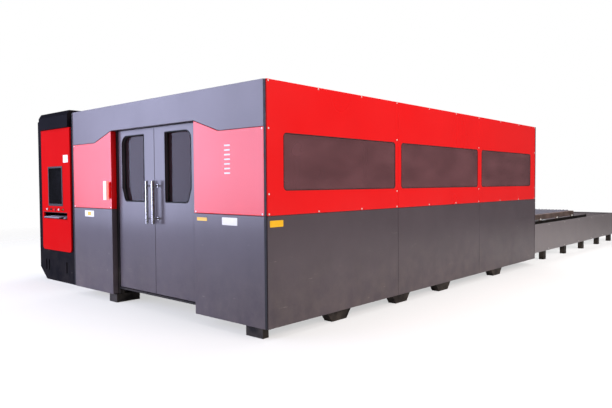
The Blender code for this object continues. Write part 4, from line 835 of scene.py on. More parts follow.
SHOULDER_RUN = 0.360
# Sizes of the dark corner strips, which are painted shade standing in for the shadow gap at the
# corners.
STRIP_GAP = 0.0005
STRIP_SPAN = (-0.0008, 0.0004)
STRIP_EDGE = 0.0002
PANE_SEAT = 0.0003
LEAF_DEPTH = 0.040
LEAF_ROUNDING = 0.003
LEAF_GAP = 0.004
LEAF_BOTTOM = 0.183
LEAF_TOP = OPENING_TOP - LEAF_GAP
LEAF_EDGE = machine_box("door_leaf_far")[1].y - DOOR_MIDDLE
LEAF_FACE = machine_box("door_glass_near")[0].x - PANE_SEAT - LEAF_DEPTH
DOOR_WINDOW = (1.140, 1.850)
DOOR_WINDOW_INNER = 0.190
DOOR_WINDOW_MARGIN = 0.072
DOOR_WINDOW_CHAMFER = (0.055, 0.150)
DOOR_WINDOW_RADII = [0.012, 0.050, 0.050, 0.090, 0.012]
PIN_INSET = 0.012
PIN_RADIUS = 0.007
PIN_GRIP = 0.02
PIN_FOOT = 0.013
PIN_HEAD = 0.026
FRONT_SEAL_RADIUS = 0.005
FRONT_SEAL_DEPTH = 0.0005
BACK_SEAL_RADIUS = 0.006
BACK_SEAL_DEPTH = 0.004
HEADER_SETBACK = 0.004
HEADER_INSET = 0.03
HEADER_GAP = 0.0015
HEADER_HEIGHT = 0.012
HANDLE_INSET = 0.056
HANDLE_SPAN = (0.915, 1.362)
HANDLE_RADIUS = 0.016
HANDLE_REACH = 0.060
POST_INSET = 0.055
POST_RADIUS = 0.008
FLANGE_RADIUS = 0.017
FLANGE_DEPTH = 0.006
COLLAR_RADIUS = 0.010
COLLAR_SPAN = (0.014, 0.021)


def mirrored(points):
    """Mirror (y, z) points across the machine's middle and keep the turning sense."""
    return [(WIDTH - y, z) for y, z in reversed(points)]


def build_door_end():
    """Folded lintel, red cheeks and grey lower panels around the doors, and corner strips of
    painted shade.
    """
    low, high = CORNER_GAP, WIDTH - CORNER_GAP
    lintel = [(low, SHOULDER_TOP + SEAM), (OPENING_NEAR - SHOULDER_RUN, SHOULDER_TOP + SEAM),
              (OPENING_NEAR, OPENING_TOP), (OPENING_FAR, OPENING_TOP),
              (OPENING_FAR + SHOULDER_RUN, SHOULDER_TOP + SEAM), (high, SHOULDER_TOP + SEAM),
              (high, TOP), (low, TOP)]
    piece("lintel_sheet", folded(lintel, 0.0, FRONT_DEPTH, "end"), "machine", "slate_grey",
          replaces=("lintel_fascia",), smooth=True)
    cheek = [(low, COLOUR_LINE), (OPENING_NEAR, COLOUR_LINE), (OPENING_NEAR, OPENING_TOP - SEAM),
             (OPENING_NEAR - SHOULDER_RUN, SHOULDER_TOP), (low, SHOULDER_TOP)]
    skirt = rectangle(low, OPENING_NEAR, FLOOR_GAP, COLOUR_LINE - SEAM)
    for side, turn in (("near", list), ("far", mirrored)):
        shift = OPENING_FAR - (WIDTH - OPENING_NEAR) if side == "far" else 0.0
        for row, outline, slot in (("red", cheek, "signal_red"), ("grey", skirt, "slate_grey")):
            points = [(y if abs(y - low) < SEAM or abs(y - high) < SEAM else y + shift, z)
                      for y, z in turn(outline)]
            sheet(f"front_{row}_panel_{side}", points, 0.0, FRONT_DEPTH, "end", slot)
    # Dark strips just in front of the corner folds: painted shade for the shadow gap between the
    # door end and the long sides.
    strips = [slab([rectangle(start, end, FLOOR_GAP + FOLD, TOP - FOLD)], *STRIP_SPAN, "end",
                   STRIP_EDGE)
              for start, end in ((FOLD, low - STRIP_GAP), (high + STRIP_GAP, WIDTH - FOLD))]
    piece("corner_strips", merged(strips), "machine", "cap_black", "seal_rubber")


def leaf_window():
    """Window outline of the far leaf, measured from the middle."""
    run, rise = DOOR_WINDOW_CHAMFER
    low, high = DOOR_WINDOW
    outer = LEAF_EDGE - DOOR_WINDOW_MARGIN
    return rounded([(DOOR_WINDOW_INNER, low), (outer - run, low), (outer, low + rise),
                    (outer, high), (DOOR_WINDOW_INNER, high)], DOOR_WINDOW_RADII)


def build_doors():
    """Both leaves with their window seals, pins and handles, and the seal above them."""
    window = leaf_window()
    leaf = rectangle(LEAF_GAP / 2, LEAF_EDGE, LEAF_BOTTOM, LEAF_TOP)
    back = LEAF_FACE + LEAF_DEPTH
    pin_x = LEAF_FACE + PIN_INSET
    for side, sign in (("far", 1), ("near", -1)):
        hole = [(DOOR_MIDDLE + sign * u, v) for u, v in window][::sign]
        outline = [(DOOR_MIDDLE + sign * u, v) for u, v in leaf][::sign]
        parts = [slab([outline, hole], LEAF_FACE, back, "end", LEAF_ROUNDING, segments=3)]
        pin_y = DOOR_MIDDLE + sign * (LEAF_EDGE - PIN_INSET)
        for start, end in ((LEAF_BOTTOM - PIN_FOOT, LEAF_BOTTOM + PIN_GRIP),
                           (LEAF_TOP - PIN_GRIP, LEAF_TOP + PIN_HEAD)):
            parts.append(bar((pin_x, pin_y, start), (pin_x, pin_y, end), PIN_RADIUS, sides=20,
                             edge=0.001))
        body = "door_" + side
        piece("leaf_" + side, merged(parts), body, "slate_grey",
              replaces=("door_leaf_" + side,), smooth=True)
        seal = merged([cord(hole, FRONT_SEAL_RADIUS, "end", LEAF_FACE + FRONT_SEAL_DEPTH),
                       cord(hole, BACK_SEAL_RADIUS, "end", back - BACK_SEAL_DEPTH)])
        piece("leaf_seal_" + side, seal, body, "cap_black", "seal_rubber", smooth=True)
        build_handle(side, body, sign)
    strip = block((LEAF_FACE + HEADER_SETBACK, DOOR_MIDDLE - LEAF_EDGE + HEADER_INSET,
                   LEAF_TOP + HEADER_GAP),
                  (back, DOOR_MIDDLE + LEAF_EDGE - HEADER_INSET,
                   LEAF_TOP + HEADER_GAP + HEADER_HEIGHT), edge=0.002)
    piece("header_seal", strip, "machine", "cap_black", "seal_rubber", smooth=True)


def build_handle(side, body, sign):
    """Pull handle of a leaf: domed bar, two posts, collars and flange discs."""
    y = DOOR_MIDDLE + sign * HANDLE_INSET
    low, high = HANDLE_SPAN
    x = LEAF_FACE - HANDLE_REACH
    solids = [bar((x, y, low), (x, y, high), HANDLE_RADIUS, sides=48, edge=0.003)]
    for z in (low + POST_INSET, high - POST_INSET):
        for start, end, radius, sides, edge in (
                (x + POST_RADIUS, LEAF_FACE - 0.0004, POST_RADIUS, 32, 0.001),
                (LEAF_FACE - FLANGE_DEPTH, LEAF_FACE - 0.0003, FLANGE_RADIUS, 40, 0.002),
                (x + COLLAR_SPAN[0], x + COLLAR_SPAN[1], COLLAR_RADIUS, 32, 0.001)):
            solids.append(bar((start, y, z), (end, y, z), radius, sides, edge))
    piece("handle_" + side, merged(solids), body, "stainless",
          replaces=("door_handle_" + side,), smooth=True)


# Pallets

PALLET_WIDTH = 2.05
BEAM_LIFT = 0.060
BEAM_WIDE = 0.060
BEAM_HIGH = 0.095
SPINE_INSET = 0.03
SPINE_HALF = 0.02
SPINE_SPAN = (0.010, 0.046)
WHEEL_PLACES = 5
WHEEL_INSET = 0.18
WHEEL_GAP = 0.010
AXLE_DROP = 0.020
AXLE_RADIUS = 0.012
AXLE_ENDS = (0.006, 0.022)
INNER_BRACKET = {"reach": -0.012, "half": 0.030, "drop": 0.040, "rise": 0.010, "edge": 0.002}
OUTER_BRACKET = {"reach": 0.005, "half": 0.018, "drop": 0.004, "rise": 0.088, "edge": 0.0015}
SLAT_SEAT = 0.01
SLAT_DEPTH = 0.055
TOOTH_HEIGHT = 0.029


def build_pallet(body, node, seed):
    """Pallet with bevelled box frame, spine, wheels on axles and toothed slats."""
    low, high = machine_box(node)
    start, end = low.x, high.x
    near, far = (WIDTH - PALLET_WIDTH) / 2, (WIDTH + PALLET_WIDTH) / 2
    level = low.z + BEAM_LIFT
    outer = rectangle(start, end, near, far)
    inner = rectangle(start + BEAM_WIDE, end - BEAM_WIDE, near + BEAM_WIDE, far - BEAM_WIDE)
    spine = block((start + SPINE_INSET, WIDTH / 2 - SPINE_HALF, level + SPINE_SPAN[0]),
                  (end - SPINE_INSET, WIDTH / 2 + SPINE_HALF, level + SPINE_SPAN[1]),
                  edge=0.003)
    beams = slab([outer, inner], level, level + BEAM_HIGH, "flat", edge=0.005, segments=3)
    piece(body + "_frame", merged([beams, spine]), body, "mill_steel", replaces=(node,),
          smooth=True)
    wheels = []
    brackets = []
    spacing = (end - start - 2 * WHEEL_INSET) / (WHEEL_PLACES - 1)
    axle_z = level - AXLE_DROP
    for index in range(WHEEL_PLACES):
        x = start + WHEEL_INSET + spacing * index
        for side, face in ((-1, near), (1, far)):
            hub = face + side * WHEEL_GAP
            wheels.append(wheel_mesh(x, hub, axle_z, side))
            brackets += [bracket(x, face, side, level, **INNER_BRACKET),
                         bracket(x, face, side, level, **OUTER_BRACKET),
                         bar((x, face - side * AXLE_ENDS[0], axle_z),
                             (x, hub + side * AXLE_ENDS[1], axle_z), AXLE_RADIUS, sides=24,
                             edge=0.001)]
    piece(body + "_wheels", merged(wheels), body, "mill_steel", "wheel_steel", smooth=True)
    piece(body + "_brackets", merged(brackets), body, "mill_steel", smooth=True)
    sizes = bpy.context.scene.laser_sizes
    pitch = (end - start - 2 * BEAM_WIDE) / (sizes.slats + 1)
    slats = grown(slat_tree(), point_mesh([(0.0, 0.0, 0.0)]), {
        "Count": sizes.slats, "Pitch": pitch, "Teeth": sizes.teeth,
        "Width": far - near - 2 * BEAM_WIDE + 2 * SLAT_SEAT,
        "Thickness": sizes.slat_thickness, "Tooth Height": TOOTH_HEIGHT, "Depth": SLAT_DEPTH,
        "Seed": seed})
    slats.transform(Matrix.Translation((start + BEAM_WIDE + pitch - sizes.slat_thickness / 2,
                                        near + BEAM_WIDE - SLAT_SEAT, level + BEAM_HIGH)))
    piece(body + "_slats", welded(slats), body, "mill_steel", "slat_steel")


def bracket(x, face, side, level, reach, half, drop, rise, edge):
    """An upright plate on the face of a pallet's side beam; reach is positive outwards."""
    start, end = sorted((face, face + side * reach))
    return block((x - half, start, level - drop), (x + half, end, level + rise), edge)


def wheel_mesh(x, hub, axle_z, side):
    """Flanged wheel with a recessed web, a hub and a bore cap."""
    profile = [(0.0, 0.004), (0.010, 0.004), (0.012, 0.0065), (0.016, 0.0065), (0.018, 0.009),
               (0.030, 0.009), (0.032, 0.001), (0.0385, 0.001), (0.040, 0.003),
               (0.040, 0.031), (0.0385, 0.033), (0.032, 0.033), (0.030, 0.025),
               (0.018, 0.025), (0.016, 0.031), (0.0, 0.031)]
    return lathe(profile, (x, hub, axle_z), (0, side, 0), 40)


# Plates and screws

PLATE_PROUD = 0.002
PLATE_SEAT = 0.0004
PLATE_RADIUS = 0.006
PLATE_EDGE = 0.0005
SIDE_PLATE = (0.04, 0.20, 0.955, 1.011)
SIDE_PLATE_SPAN = (0.0012, PROUD + 0.0005)
SIDE_PLATE_EDGE = 0.0004
NEAR_YELLOW_PLATE = (0.785, 0.933, 0.982, 1.014)
NEAR_WHITE_PLATE = (0.366, 0.571, 0.956, 1.025)
FAR_WHITE_PLATE = (2.863, 3.073, 0.950, 1.022)
FAR_YELLOW_PLATE = (2.930, 3.005, 0.966, 1.008)
SWITCH_WHITE_PLATE = (2.578, 2.644, 1.150, 1.364)
SWITCH_ORANGE_PLATE = (2.520, 2.572, 1.150, 1.364)
SWITCH_HOUSING = ((-0.010, 2.474, 1.165), (0.0004, 2.514, 1.350))
BARS = 7
BAR_SPAN = (0.455, 0.534)
BAR_LEVEL = 1.418
BAR_STEP = 0.041
BAR_HALF = 0.0065
BAR_PROUD = 0.0018
BAR_RADIUS = 0.005
SCREW_INSET = 0.022
EDGE_INSET = 0.014
WINDOW_INSET = 0.03
REAR_SHARES = (0.02, 0.26, 0.5, 0.74, 0.98)
REAR_SCREW_LEVEL = 1.04
CLADDING_INSET = 0.03
CLADDING_END = 0.05


def end_plate(corners, proud=PLATE_PROUD, radius=PLATE_RADIUS):
    """A plain plate with rounded corners on the door end's face."""
    return slab([round_box(*corners, radius, 4)], -proud, PLATE_SEAT, "end", PLATE_EDGE)


def build_plates():
    """Plain plates, the row of white bars and the switch housing at the door opening."""
    side_plate = slab([round_box(*SIDE_PLATE, PLATE_RADIUS, 4)], *SIDE_PLATE_SPAN, "side",
                      SIDE_PLATE_EDGE)
    yellow = [side_plate, end_plate(NEAR_YELLOW_PLATE),
              end_plate(FAR_YELLOW_PLATE, proud=0.0028)]
    levels = [BAR_LEVEL + index * BAR_STEP for index in range(BARS)]
    white = [end_plate(FAR_WHITE_PLATE), end_plate(SWITCH_WHITE_PLATE)]
    white += [end_plate((*BAR_SPAN, z - BAR_HALF, z + BAR_HALF), BAR_PROUD, BAR_RADIUS)
              for z in levels]
    white.append(end_plate(NEAR_WHITE_PLATE))
    piece("orange_plate", end_plate(SWITCH_ORANGE_PLATE), "machine", "cap_red", "plate_orange")
    # The housing takes the darkened console red, which is painted shade.
    piece("switch_housing", block(*SWITCH_HOUSING, edge=0.003), "machine", "signal_red",
          "console_red", smooth=True)
    piece("yellow_plates", merged(yellow), "machine", "key_brass", "plate_yellow")
    piece("white_plates", merged(white), "machine", "cap_white", "plate_white")


def side_screws():
    """Places of the screws on the long sides, the door end and the rear."""
    places = []
    window_low, window_high = side_window("1")[2:]
    top, line = TOP - EDGE_INSET, COLOUR_LINE + EDGE_INSET
    seam_heights = (top, window_high + WINDOW_INSET, window_low - WINDOW_INSET, line)
    for index, (start, end) in enumerate(side_spans()):
        thirds = [start + (end - start) * share for share in (1 / 3, 2 / 3)]
        seams = [end - SCREW_INSET] if index else [start + SCREW_INSET, end - SCREW_INSET]
        spots = [(x, z) for x in thirds for z in (top, line)]
        spots += [(x, z) for x in seams for z in seam_heights]
        for face, way in ((PROUD, -1.0), (WIDTH - PROUD, 1.0)):
            places += [((x, face, z), (0.0, way, 0.0)) for x, z in spots]
    shoulder = SHOULDER_TOP - EDGE_INSET
    for y, heights in ((CORNER_GAP + SCREW_INSET, (line, shoulder)),
                       (OPENING_NEAR - SCREW_INSET, (line,)),
                       (OPENING_FAR + SCREW_INSET, (line,)),
                       (WIDTH - CORNER_GAP - SCREW_INSET, (line, shoulder))):
        places += [((0.0, y, z), (-1.0, 0.0, 0.0)) for z in heights]
    for share in REAR_SHARES:
        y = CORNER_GAP + (WIDTH - 2 * CORNER_GAP) * share
        places += [((LENGTH - PROUD, y, z), (1.0, 0.0, 0.0))
                   for z in (TOP - CLADDING_INSET, REAR_SCREW_LEVEL)]
    return places


def row_places(low, high, count):
    """Places spread evenly between two ends, kept clear of both."""
    return [low + CLADDING_END + (high - low - 2 * CLADDING_END) * index / (count - 1)
            for index in range(count)]


def table_screws():
    """Places of the screws on the table's cladding."""
    places = []
    for side, way in (("near", -1.0), ("far", 1.0)):
        low, high = machine_box("table_panel_" + side)
        face = low.y if side == "near" else high.y
        places += [((x, face, z), (0.0, way, 0.0)) for x in row_places(low.x, high.x, 7)
                   for z in (low.z + CLADDING_INSET, high.z - CLADDING_INSET)]
    low, high = machine_box("table_panel_end")
    places += [((high.x - PROUD, y, z), (1.0, 0.0, 0.0)) for y in row_places(low.y, high.y, 6)
               for z in (low.z + CLADDING_INSET, high.z - CLADDING_INSET)]
    return places


def build_screws():
    """All the sheet screws as Geometry Nodes rows."""
    for name, places, seed in (("panel_screws", side_screws(), 3),
                               ("table_screws", table_screws(), 5)):
        piece(name, screw_mesh(places, seed), "machine", "stainless", "screw_zinc", smooth=True)


# Console

FASCIA_RADII = [0.055, 0.055, 0.0, 0.0]
SCREEN_GAP = 0.001
SLOT_RUN = (0.10, 0.79)
SLOT_SPAN = (0.862, 0.945)
SLOT_LIP = 0.006
BUTTON_LEVEL = 0.988
BUTTON_BORE = 0.0112
BUTTON_RINGS = {
    "start_button": (0.0155, 0.0195),
    "selector_switch": (0.0165, 0.020),
    "emergency_stop": (0.0205, 0.026),
    "reset_button": (0.0155, 0.0195),
    "key_switch": (0.0165, 0.020),
}
CONSOLE_PLATE = (4.000, 4.136, 1.62, 1.72)
CONSOLE_PLATE_RADIUS = 0.005
BEZEL_DEPTH = 0.014
BEZEL_SIDE = 0.022
BEZEL_FOOT = 0.030
DISPLAY_SPAN = (0.0035, 0.0135)
DISPLAY_LAP = 0.004
KEYBOARD_FRONT = 0.008
KEYBOARD_BACK = 0.020
KEYBOARD_LIP = (0.004, 0.005)
KEY_HALF = Vector((0.0095, 0.0098, 0.004))
KEY_MARGINS = (0.030, 0.032)
KEY_LEVEL = 0.0165
KEY_GRID = {"Rows": 6, "Columns": 20}
NODE_EDGES = {"console_cabinet": 0.003, "console_hood": 0.005, "console_door": 0.003,
              "table_frame": 0.003, "gantry_beam": 0.003, "keyboard_shelf": 0.001}


def build_console():
    """Operator panel: red fascia, screen, slot trim, button rings and a plain plate."""
    low, high = machine_box("console_fascia")
    screen_low, screen_high = machine_box("console_screen")
    slot_near, slot_far = low.y + SLOT_RUN[0], low.y + SLOT_RUN[1]
    slot_low, slot_high = SLOT_SPAN
    view = rectangle(screen_low.y - SCREEN_GAP, screen_high.y + SCREEN_GAP,
                     screen_low.z - SCREEN_GAP, screen_high.z + SCREEN_GAP)
    mouth = rectangle(slot_near, slot_far, slot_low, slot_high)
    bores = []
    rings = []
    for name, (inner, outer) in BUTTON_RINGS.items():
        start, end = machine_box(name)
        y = (start.y + end.y) / 2
        bores.append(circle(y, BUTTON_LEVEL, BUTTON_BORE))
        rings.append(lathe([(inner, -0.001), (outer, -0.001), (outer, 0.003),
                            (outer - 0.0012, 0.0045), (inner + 0.0008, 0.0045),
                            (inner, 0.0035), (inner, -0.001)],
                           (low.x, y, BUTTON_LEVEL), (-1, 0, 0), 40))
    outline = rounded(rectangle(low.y, high.y, low.z, high.z), FASCIA_RADII)
    fascia = slab([outline, view, mouth] + bores, low.x, high.x, "end", edge=0.0025, segments=3)
    piece("fascia_sheet", fascia, "machine", "signal_red", "console_red",
          replaces=("console_fascia",), smooth=True)
    build_screen(screen_low, screen_high)
    lip = [(slot_near - SLOT_LIP, slot_high + SLOT_LIP), (slot_near - SLOT_LIP, slot_high),
           (slot_far + SLOT_LIP, slot_high), (slot_far + SLOT_LIP, slot_high + SLOT_LIP)]
    piece("slot_trim", slab([lip], low.x - 0.0025, low.x + 0.001, "end", edge=0.0006),
          "machine", "cap_black", "seal_rubber", smooth=True)
    piece("button_rings", merged(rings), "machine", "stainless", "ring_chrome", smooth=True)
    plate = slab([round_box(*CONSOLE_PLATE, CONSOLE_PLATE_RADIUS, 4)], low.x - 0.0018,
                 low.x + 0.0005, "end", PLATE_EDGE)
    piece("console_plate", plate, "machine", "cap_white", "plate_white")


def build_screen(low, high):
    """Monitor with its bezel and a sunk display."""
    side, foot = BEZEL_SIDE, BEZEL_FOOT
    frame_outline = round_box(low.y, high.y, low.z, high.z, 0.006, 4)
    opening = rectangle(low.y + side, high.y - side, low.z + foot, high.z - side)
    bezel = slab([frame_outline, opening], low.x, low.x + BEZEL_DEPTH, "end",
                 edge=0.0015)
    piece("screen_bezel", bezel, "machine", "cap_black", replaces=("console_screen",),
          smooth=True)
    side, foot = side - DISPLAY_LAP, foot - DISPLAY_LAP
    pane = rectangle(low.y + side, high.y - side, low.z + foot, high.z - side)
    display = slab([pane], low.x + DISPLAY_SPAN[0], low.x + DISPLAY_SPAN[1], "end", PANE_EDGE)
    piece("screen_display", display, "machine", "screen_black", smooth=True)


def build_keyboard():
    """Keyboard with its keys in a grid, riding on the drawer."""
    low, high = machine_box("keyboard")
    seat = low.z
    outline = [(low.x, seat), (high.x, seat), (high.x, seat + KEYBOARD_BACK),
               (low.x + KEYBOARD_LIP[0], seat + KEYBOARD_FRONT),
               (low.x, seat + KEYBOARD_LIP[1])]
    piece("keyboard_base", slab([outline], low.y, high.y, "side", edge=0.0015),
          "keyboard_drawer", "key_grey", replaces=("keyboard",), smooth=True)
    key = temporary(block(-KEY_HALF, KEY_HALF, edge=0.002))
    keys = grown(key_tree(), point_mesh([(0.0, 0.0, 0.0)]), {
        "Key": key, "Size X": high.x - low.x - KEY_MARGINS[0],
        "Size Y": high.y - low.y - KEY_MARGINS[1], **KEY_GRID})
    bpy.data.objects.remove(key, do_unlink=True)
    slope = math.atan((KEYBOARD_BACK - KEYBOARD_FRONT) / (high.x - low.x))
    middle = (low + high) / 2
    keys.transform(Matrix.Translation((middle.x, middle.y, seat + KEY_LEVEL))
                   @ Matrix.Rotation(-slope, 4, "Y"))
    # The keys' pale finish is painted light standing in for light falling on them in the slot.
    piece("keyboard_keys", welded(keys), "keyboard_drawer", "key_grey", "key_dark", smooth=True)


def build_carried_over():
    """Procedural finishes for every node that is kept from the model, and softened edges."""
    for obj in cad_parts.values():
        slot = obj.data.materials[0].name.split(".")[0]
        obj.data.materials[0] = look(slot)
    for name, width in NODE_EDGES.items():
        round_edges(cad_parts[name], width, 2, SMOOTH_ANGLE)


# The stage

FLOOR_REACH = 40.0
FLOOR_DROP = 0.0005
FLOOR_TONES = ((244, 244, 244), (250, 250, 250))
FADE_START = 6.0
FADE_END = 13.0
FLOOR_CLEAR = 0.55
WORLD_LIGHT = 0.42
WORLD_GLOSS = 0.08
GLARE_COLOUR = (0.66, 0.69, 1.0)
LAMPS = {
    "key": dict(place=(-3.0, -12.0, 7.0), target=(0.5, 0.0, 1.0), size=(9.0, 5.0),
                power=1080.0, colour=(1.0, 0.84, 0.80)),
    "glare": dict(place=(-12.6, 4.2, 3.2), target=(-5.4, -0.8, 1.3), size=(8.8, 6.0),
                  power=1040.0, colour=GLARE_COLOUR),
    "glare_far": dict(place=(-9.64, 8.47, 3.2), target=(-2.44, 3.47, 1.3), size=(1.6, 6.0),
                      power=118.0, colour=GLARE_COLOUR),
    "top": dict(place=(0.0, 0.0, 9.0), target=(0.0, 0.0, 0.0), size=(12.0, 8.0), power=900.0,
                colour=(1.0, 1.0, 1.0)),
    "rear": dict(place=(10.0, 8.0, 6.0), target=(3.0, 1.0, 0.5), size=(6.0, 6.0), power=400.0,
                 colour=(1.0, 1.0, 1.0)),
}
CAMERA_PLACE = (-8.857, -5.918, 1.3235)
CAMERA_AZIMUTH = -48.14
CAMERA_ELEVATION = 2.04
CAMERA_ROLL = 0.354
CAMERA_LENS = 34.1
CAMERA_SENSOR = 36.0


def build_stage():
    """Pale floor, soft lamps, white surroundings and the camera."""
    build_floor()
    build_world()
    for name, settings in LAMPS.items():
        lamp(name, **settings)
    build_camera()


def build_floor():
    """Pale floor that thins out with the distance and keeps the object's shadow."""
    mesh = bpy.data.meshes.new("floor")
    corners = rectangle(-FLOOR_REACH, FLOOR_REACH, -FLOOR_REACH, FLOOR_REACH)
    mesh.from_pydata([(x, y, 0) for x, y in corners], [], [(0, 1, 2, 3)])
    floor = bpy.data.objects.new("floor", mesh)
    floor.location.z = -FLOOR_DROP
    bpy.context.scene.collection.objects.link(floor)
    made, tree, shader, place = start_material("floor")
    base = blend_colours(tree, noise(tree, place, scale=0.6), *map(tone, FLOOR_TONES))
    tree.links.new(base, shader.inputs["Base Color"])
    shader.inputs["Roughness"].default_value = 0.8
    shader.inputs["Specular IOR Level"].default_value = 0.1
    away = add(tree, "ShaderNodeVectorMath", {0: place}, operation="LENGTH").outputs["Value"]
    clear = add(tree, "ShaderNodeBsdfTransparent")
    fade = add(tree, "ShaderNodeMixShader",
               {0: remap(tree, away, FADE_START, FADE_END, FLOOR_CLEAR), 1: shader.outputs[0],
                2: clear.outputs[0]})
    tree.links.new(fade.outputs[0], tree.nodes["Material Output"].inputs["Surface"])
    mesh.materials.append(made)


def lamp(name, place, target, size, power, colour):
    """A rectangular area lamp aimed at a point; the camera doesn't see it."""
    data = bpy.data.lights.new(name, "AREA")
    data.shape = "RECTANGLE"
    data.size, data.size_y = size
    data.energy = power
    data.color = colour
    obj = bpy.data.objects.new(name, data)
    obj.location = place
    aim = Vector(target) - Vector(place)
    obj.rotation_euler = aim.to_track_quat("-Z", "Y").to_euler()
    obj.visible_camera = False
    bpy.context.scene.collection.objects.link(obj)


def build_world():
    """White to the camera, softer as a light and nearly dark in reflections."""
    world = bpy.data.worlds.new("surroundings")
    world.use_nodes = True
    bpy.context.scene.world = world
    tree = world.node_tree
    tree.nodes.clear()
    path = add(tree, "ShaderNodeLightPath")
    around = remap(tree, path.outputs["Is Glossy Ray"], 0.0, 1.0, WORLD_LIGHT, WORLD_GLOSS)
    strength = maths(tree, "MAXIMUM", path.outputs["Is Camera Ray"], around)
    light = add(tree, "ShaderNodeBackground", {"Color": (1, 1, 1, 1), "Strength": strength})
    add(tree, "ShaderNodeOutputWorld", {"Surface": light.outputs[0]})


def build_camera():
    """Camera of the photo: place, aim, roll and lens."""
    data = bpy.data.cameras.new("camera")
    data.lens = CAMERA_LENS
    data.sensor_width = CAMERA_SENSOR
    camera = bpy.data.objects.new("camera", data)
    azimuth, elevation, roll = (math.radians(angle) for angle in
                                (CAMERA_AZIMUTH, CAMERA_ELEVATION, CAMERA_ROLL))
    back = Vector((math.sin(azimuth) * math.cos(elevation),
                   -math.cos(azimuth) * math.cos(elevation), math.sin(elevation)))
    right = Vector((math.cos(azimuth), math.sin(azimuth), 0.0))
    up = back.cross(right)
    axis_x = right * math.cos(roll) - up * math.sin(roll)
    axis_y = back.cross(axis_x)
    turn = Matrix((axis_x, axis_y, back)).transposed().to_4x4()
    camera.matrix_world = Matrix.Translation(CAMERA_PLACE) @ turn
    bpy.context.scene.collection.objects.link(camera)
    bpy.context.scene.camera = camera
    bpy.context.scene.view_settings.view_transform = "Standard"


# The add-on

class LaserColours(bpy.types.PropertyGroup):
    """Paint colours, as seen on screen."""

    red: bpy.props.FloatVectorProperty(
        name="Red", description="Upper panels and operator panel", subtype="COLOR_GAMMA",
        size=3, min=0.0, max=1.0, default=(0.91, 0.03, 0.05))
    slate: bpy.props.FloatVectorProperty(
        name="Slate", description="Lower panels, lintel and doors", subtype="COLOR_GAMMA",
        size=3, min=0.0, max=1.0, default=(0.300, 0.268, 0.294))
    console: bpy.props.FloatVectorProperty(
        name="Console", description="Console cabinet and hood", subtype="COLOR_GAMMA",
        size=3, min=0.0, max=1.0, default=(0.064, 0.060, 0.082))
    table: bpy.props.FloatVectorProperty(
        name="Table", description="Cladding of the exchange table", subtype="COLOR_GAMMA",
        size=3, min=0.0, max=1.0, default=(0.47, 0.450, 0.465))


class LaserSizes(bpy.types.PropertyGroup):
    """Sizes of the screws and of the pallets' slats."""

    screw_radius: bpy.props.FloatProperty(
        name="Screw radius", description="Radius of the sheet screws' heads", unit="LENGTH",
        default=0.006, min=0.002, max=0.012, precision=4)
    slats: bpy.props.IntProperty(
        name="Slats", description="Support slats on each pallet", default=43, min=5, max=120)
    teeth: bpy.props.IntProperty(
        name="Teeth", description="Teeth on each slat", default=26, min=4, max=80)
    slat_thickness: bpy.props.FloatProperty(
        name="Slat thickness", description="Thickness of a support slat", unit="LENGTH",
        default=0.004, min=0.001, max=0.02, precision=4)


class OBJECT_OT_laser_finishes(bpy.types.Operator):
    """Give every node kept from the model its finish"""

    bl_idname = "laser.finishes"
    bl_label = "Finishes"

    def execute(self, context):
        build_carried_over()
        return {"FINISHED"}


class OBJECT_OT_laser_sides(bpy.types.Operator):
    """Build the long sides, the roof and the rear wall"""

    bl_idname = "laser.sides"
    bl_label = "Sides, roof and rear"

    def execute(self, context):
        build_long_sides()
        build_rear_and_roof()
        return {"FINISHED"}


class OBJECT_OT_laser_door_end(bpy.types.Operator):
    """Build the door end with both leaves"""

    bl_idname = "laser.door_end"
    bl_label = "Door end"

    def execute(self, context):
        build_door_end()
        build_doors()
        return {"FINISHED"}


class OBJECT_OT_laser_table(bpy.types.Operator):
    """Build the exchange table's cladding and both pallets"""

    bl_idname = "laser.table"
    bl_label = "Table and pallets"

    def execute(self, context):
        build_table_cladding()
        build_pallet("upper_pallet", "pallet_upper", seed=7)
        build_pallet("lower_pallet", "pallet_lower", seed=11)
        return {"FINISHED"}


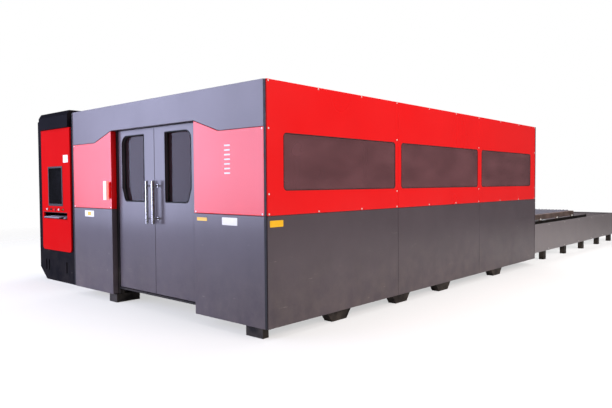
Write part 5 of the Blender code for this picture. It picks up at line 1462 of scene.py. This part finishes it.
class OBJECT_OT_laser_console(bpy.types.Operator):
    """Build the operator console"""

    bl_idname = "laser.console"
    bl_label = "Console"

    def execute(self, context):
        build_console()
        build_keyboard()
        return {"FINISHED"}


class OBJECT_OT_laser_trim(bpy.types.Operator):
    """Build the plates and the screws"""

    bl_idname = "laser.trim"
    bl_label = "Plates and screws"

    def execute(self, context):
        build_plates()
        build_screws()
        return {"FINISHED"}


class OBJECT_OT_laser_stage(bpy.types.Operator):
    """Build the floor, the lamps and the camera"""

    bl_idname = "laser.stage"
    bl_label = "Stage"

    def execute(self, context):
        build_stage()
        return {"FINISHED"}


OPERATORS = (OBJECT_OT_laser_finishes, OBJECT_OT_laser_sides, OBJECT_OT_laser_door_end,
             OBJECT_OT_laser_table, OBJECT_OT_laser_console, OBJECT_OT_laser_trim,
             OBJECT_OT_laser_stage)


class VIEW3D_PT_laser_cutter(bpy.types.Panel):
    """Sidebar panel with the settings and the steps"""

    bl_label = "Laser cutter"
    bl_space_type = "VIEW_3D"
    bl_region_type = "UI"
    bl_category = "Laser Cutter"

    def draw(self, context):
        layout = self.layout
        for group in (context.scene.laser_colours, context.scene.laser_sizes):
            for name in group.bl_rna.properties.keys():
                if name not in ("rna_type", "name"):
                    layout.prop(group, name)
        for operator in OPERATORS:
            layout.operator(operator.bl_idname)


CLASSES = (LaserColours, LaserSizes) + OPERATORS + (VIEW3D_PT_laser_cutter,)


def register():
    """Register the classes and the scene's settings."""
    for each in CLASSES:
        bpy.utils.register_class(each)
    bpy.types.Scene.laser_colours = bpy.props.PointerProperty(type=LaserColours)
    bpy.types.Scene.laser_sizes = bpy.props.PointerProperty(type=LaserSizes)


def unregister():
    """Remove the scene's settings and the classes."""
    del bpy.types.Scene.laser_colours
    del bpy.types.Scene.laser_sizes
    for each in reversed(CLASSES):
        bpy.utils.unregister_class(each)


def main():
    """Run every step in order."""
    register()
    for operator in OPERATORS:
        group, name = operator.bl_idname.split(".")
        result = getattr(getattr(bpy.ops, group), name)()
        if result != {"FINISHED"}:
            raise RuntimeError(f"{operator.bl_idname} did not finish")


if __name__ == "__main__":
    main()
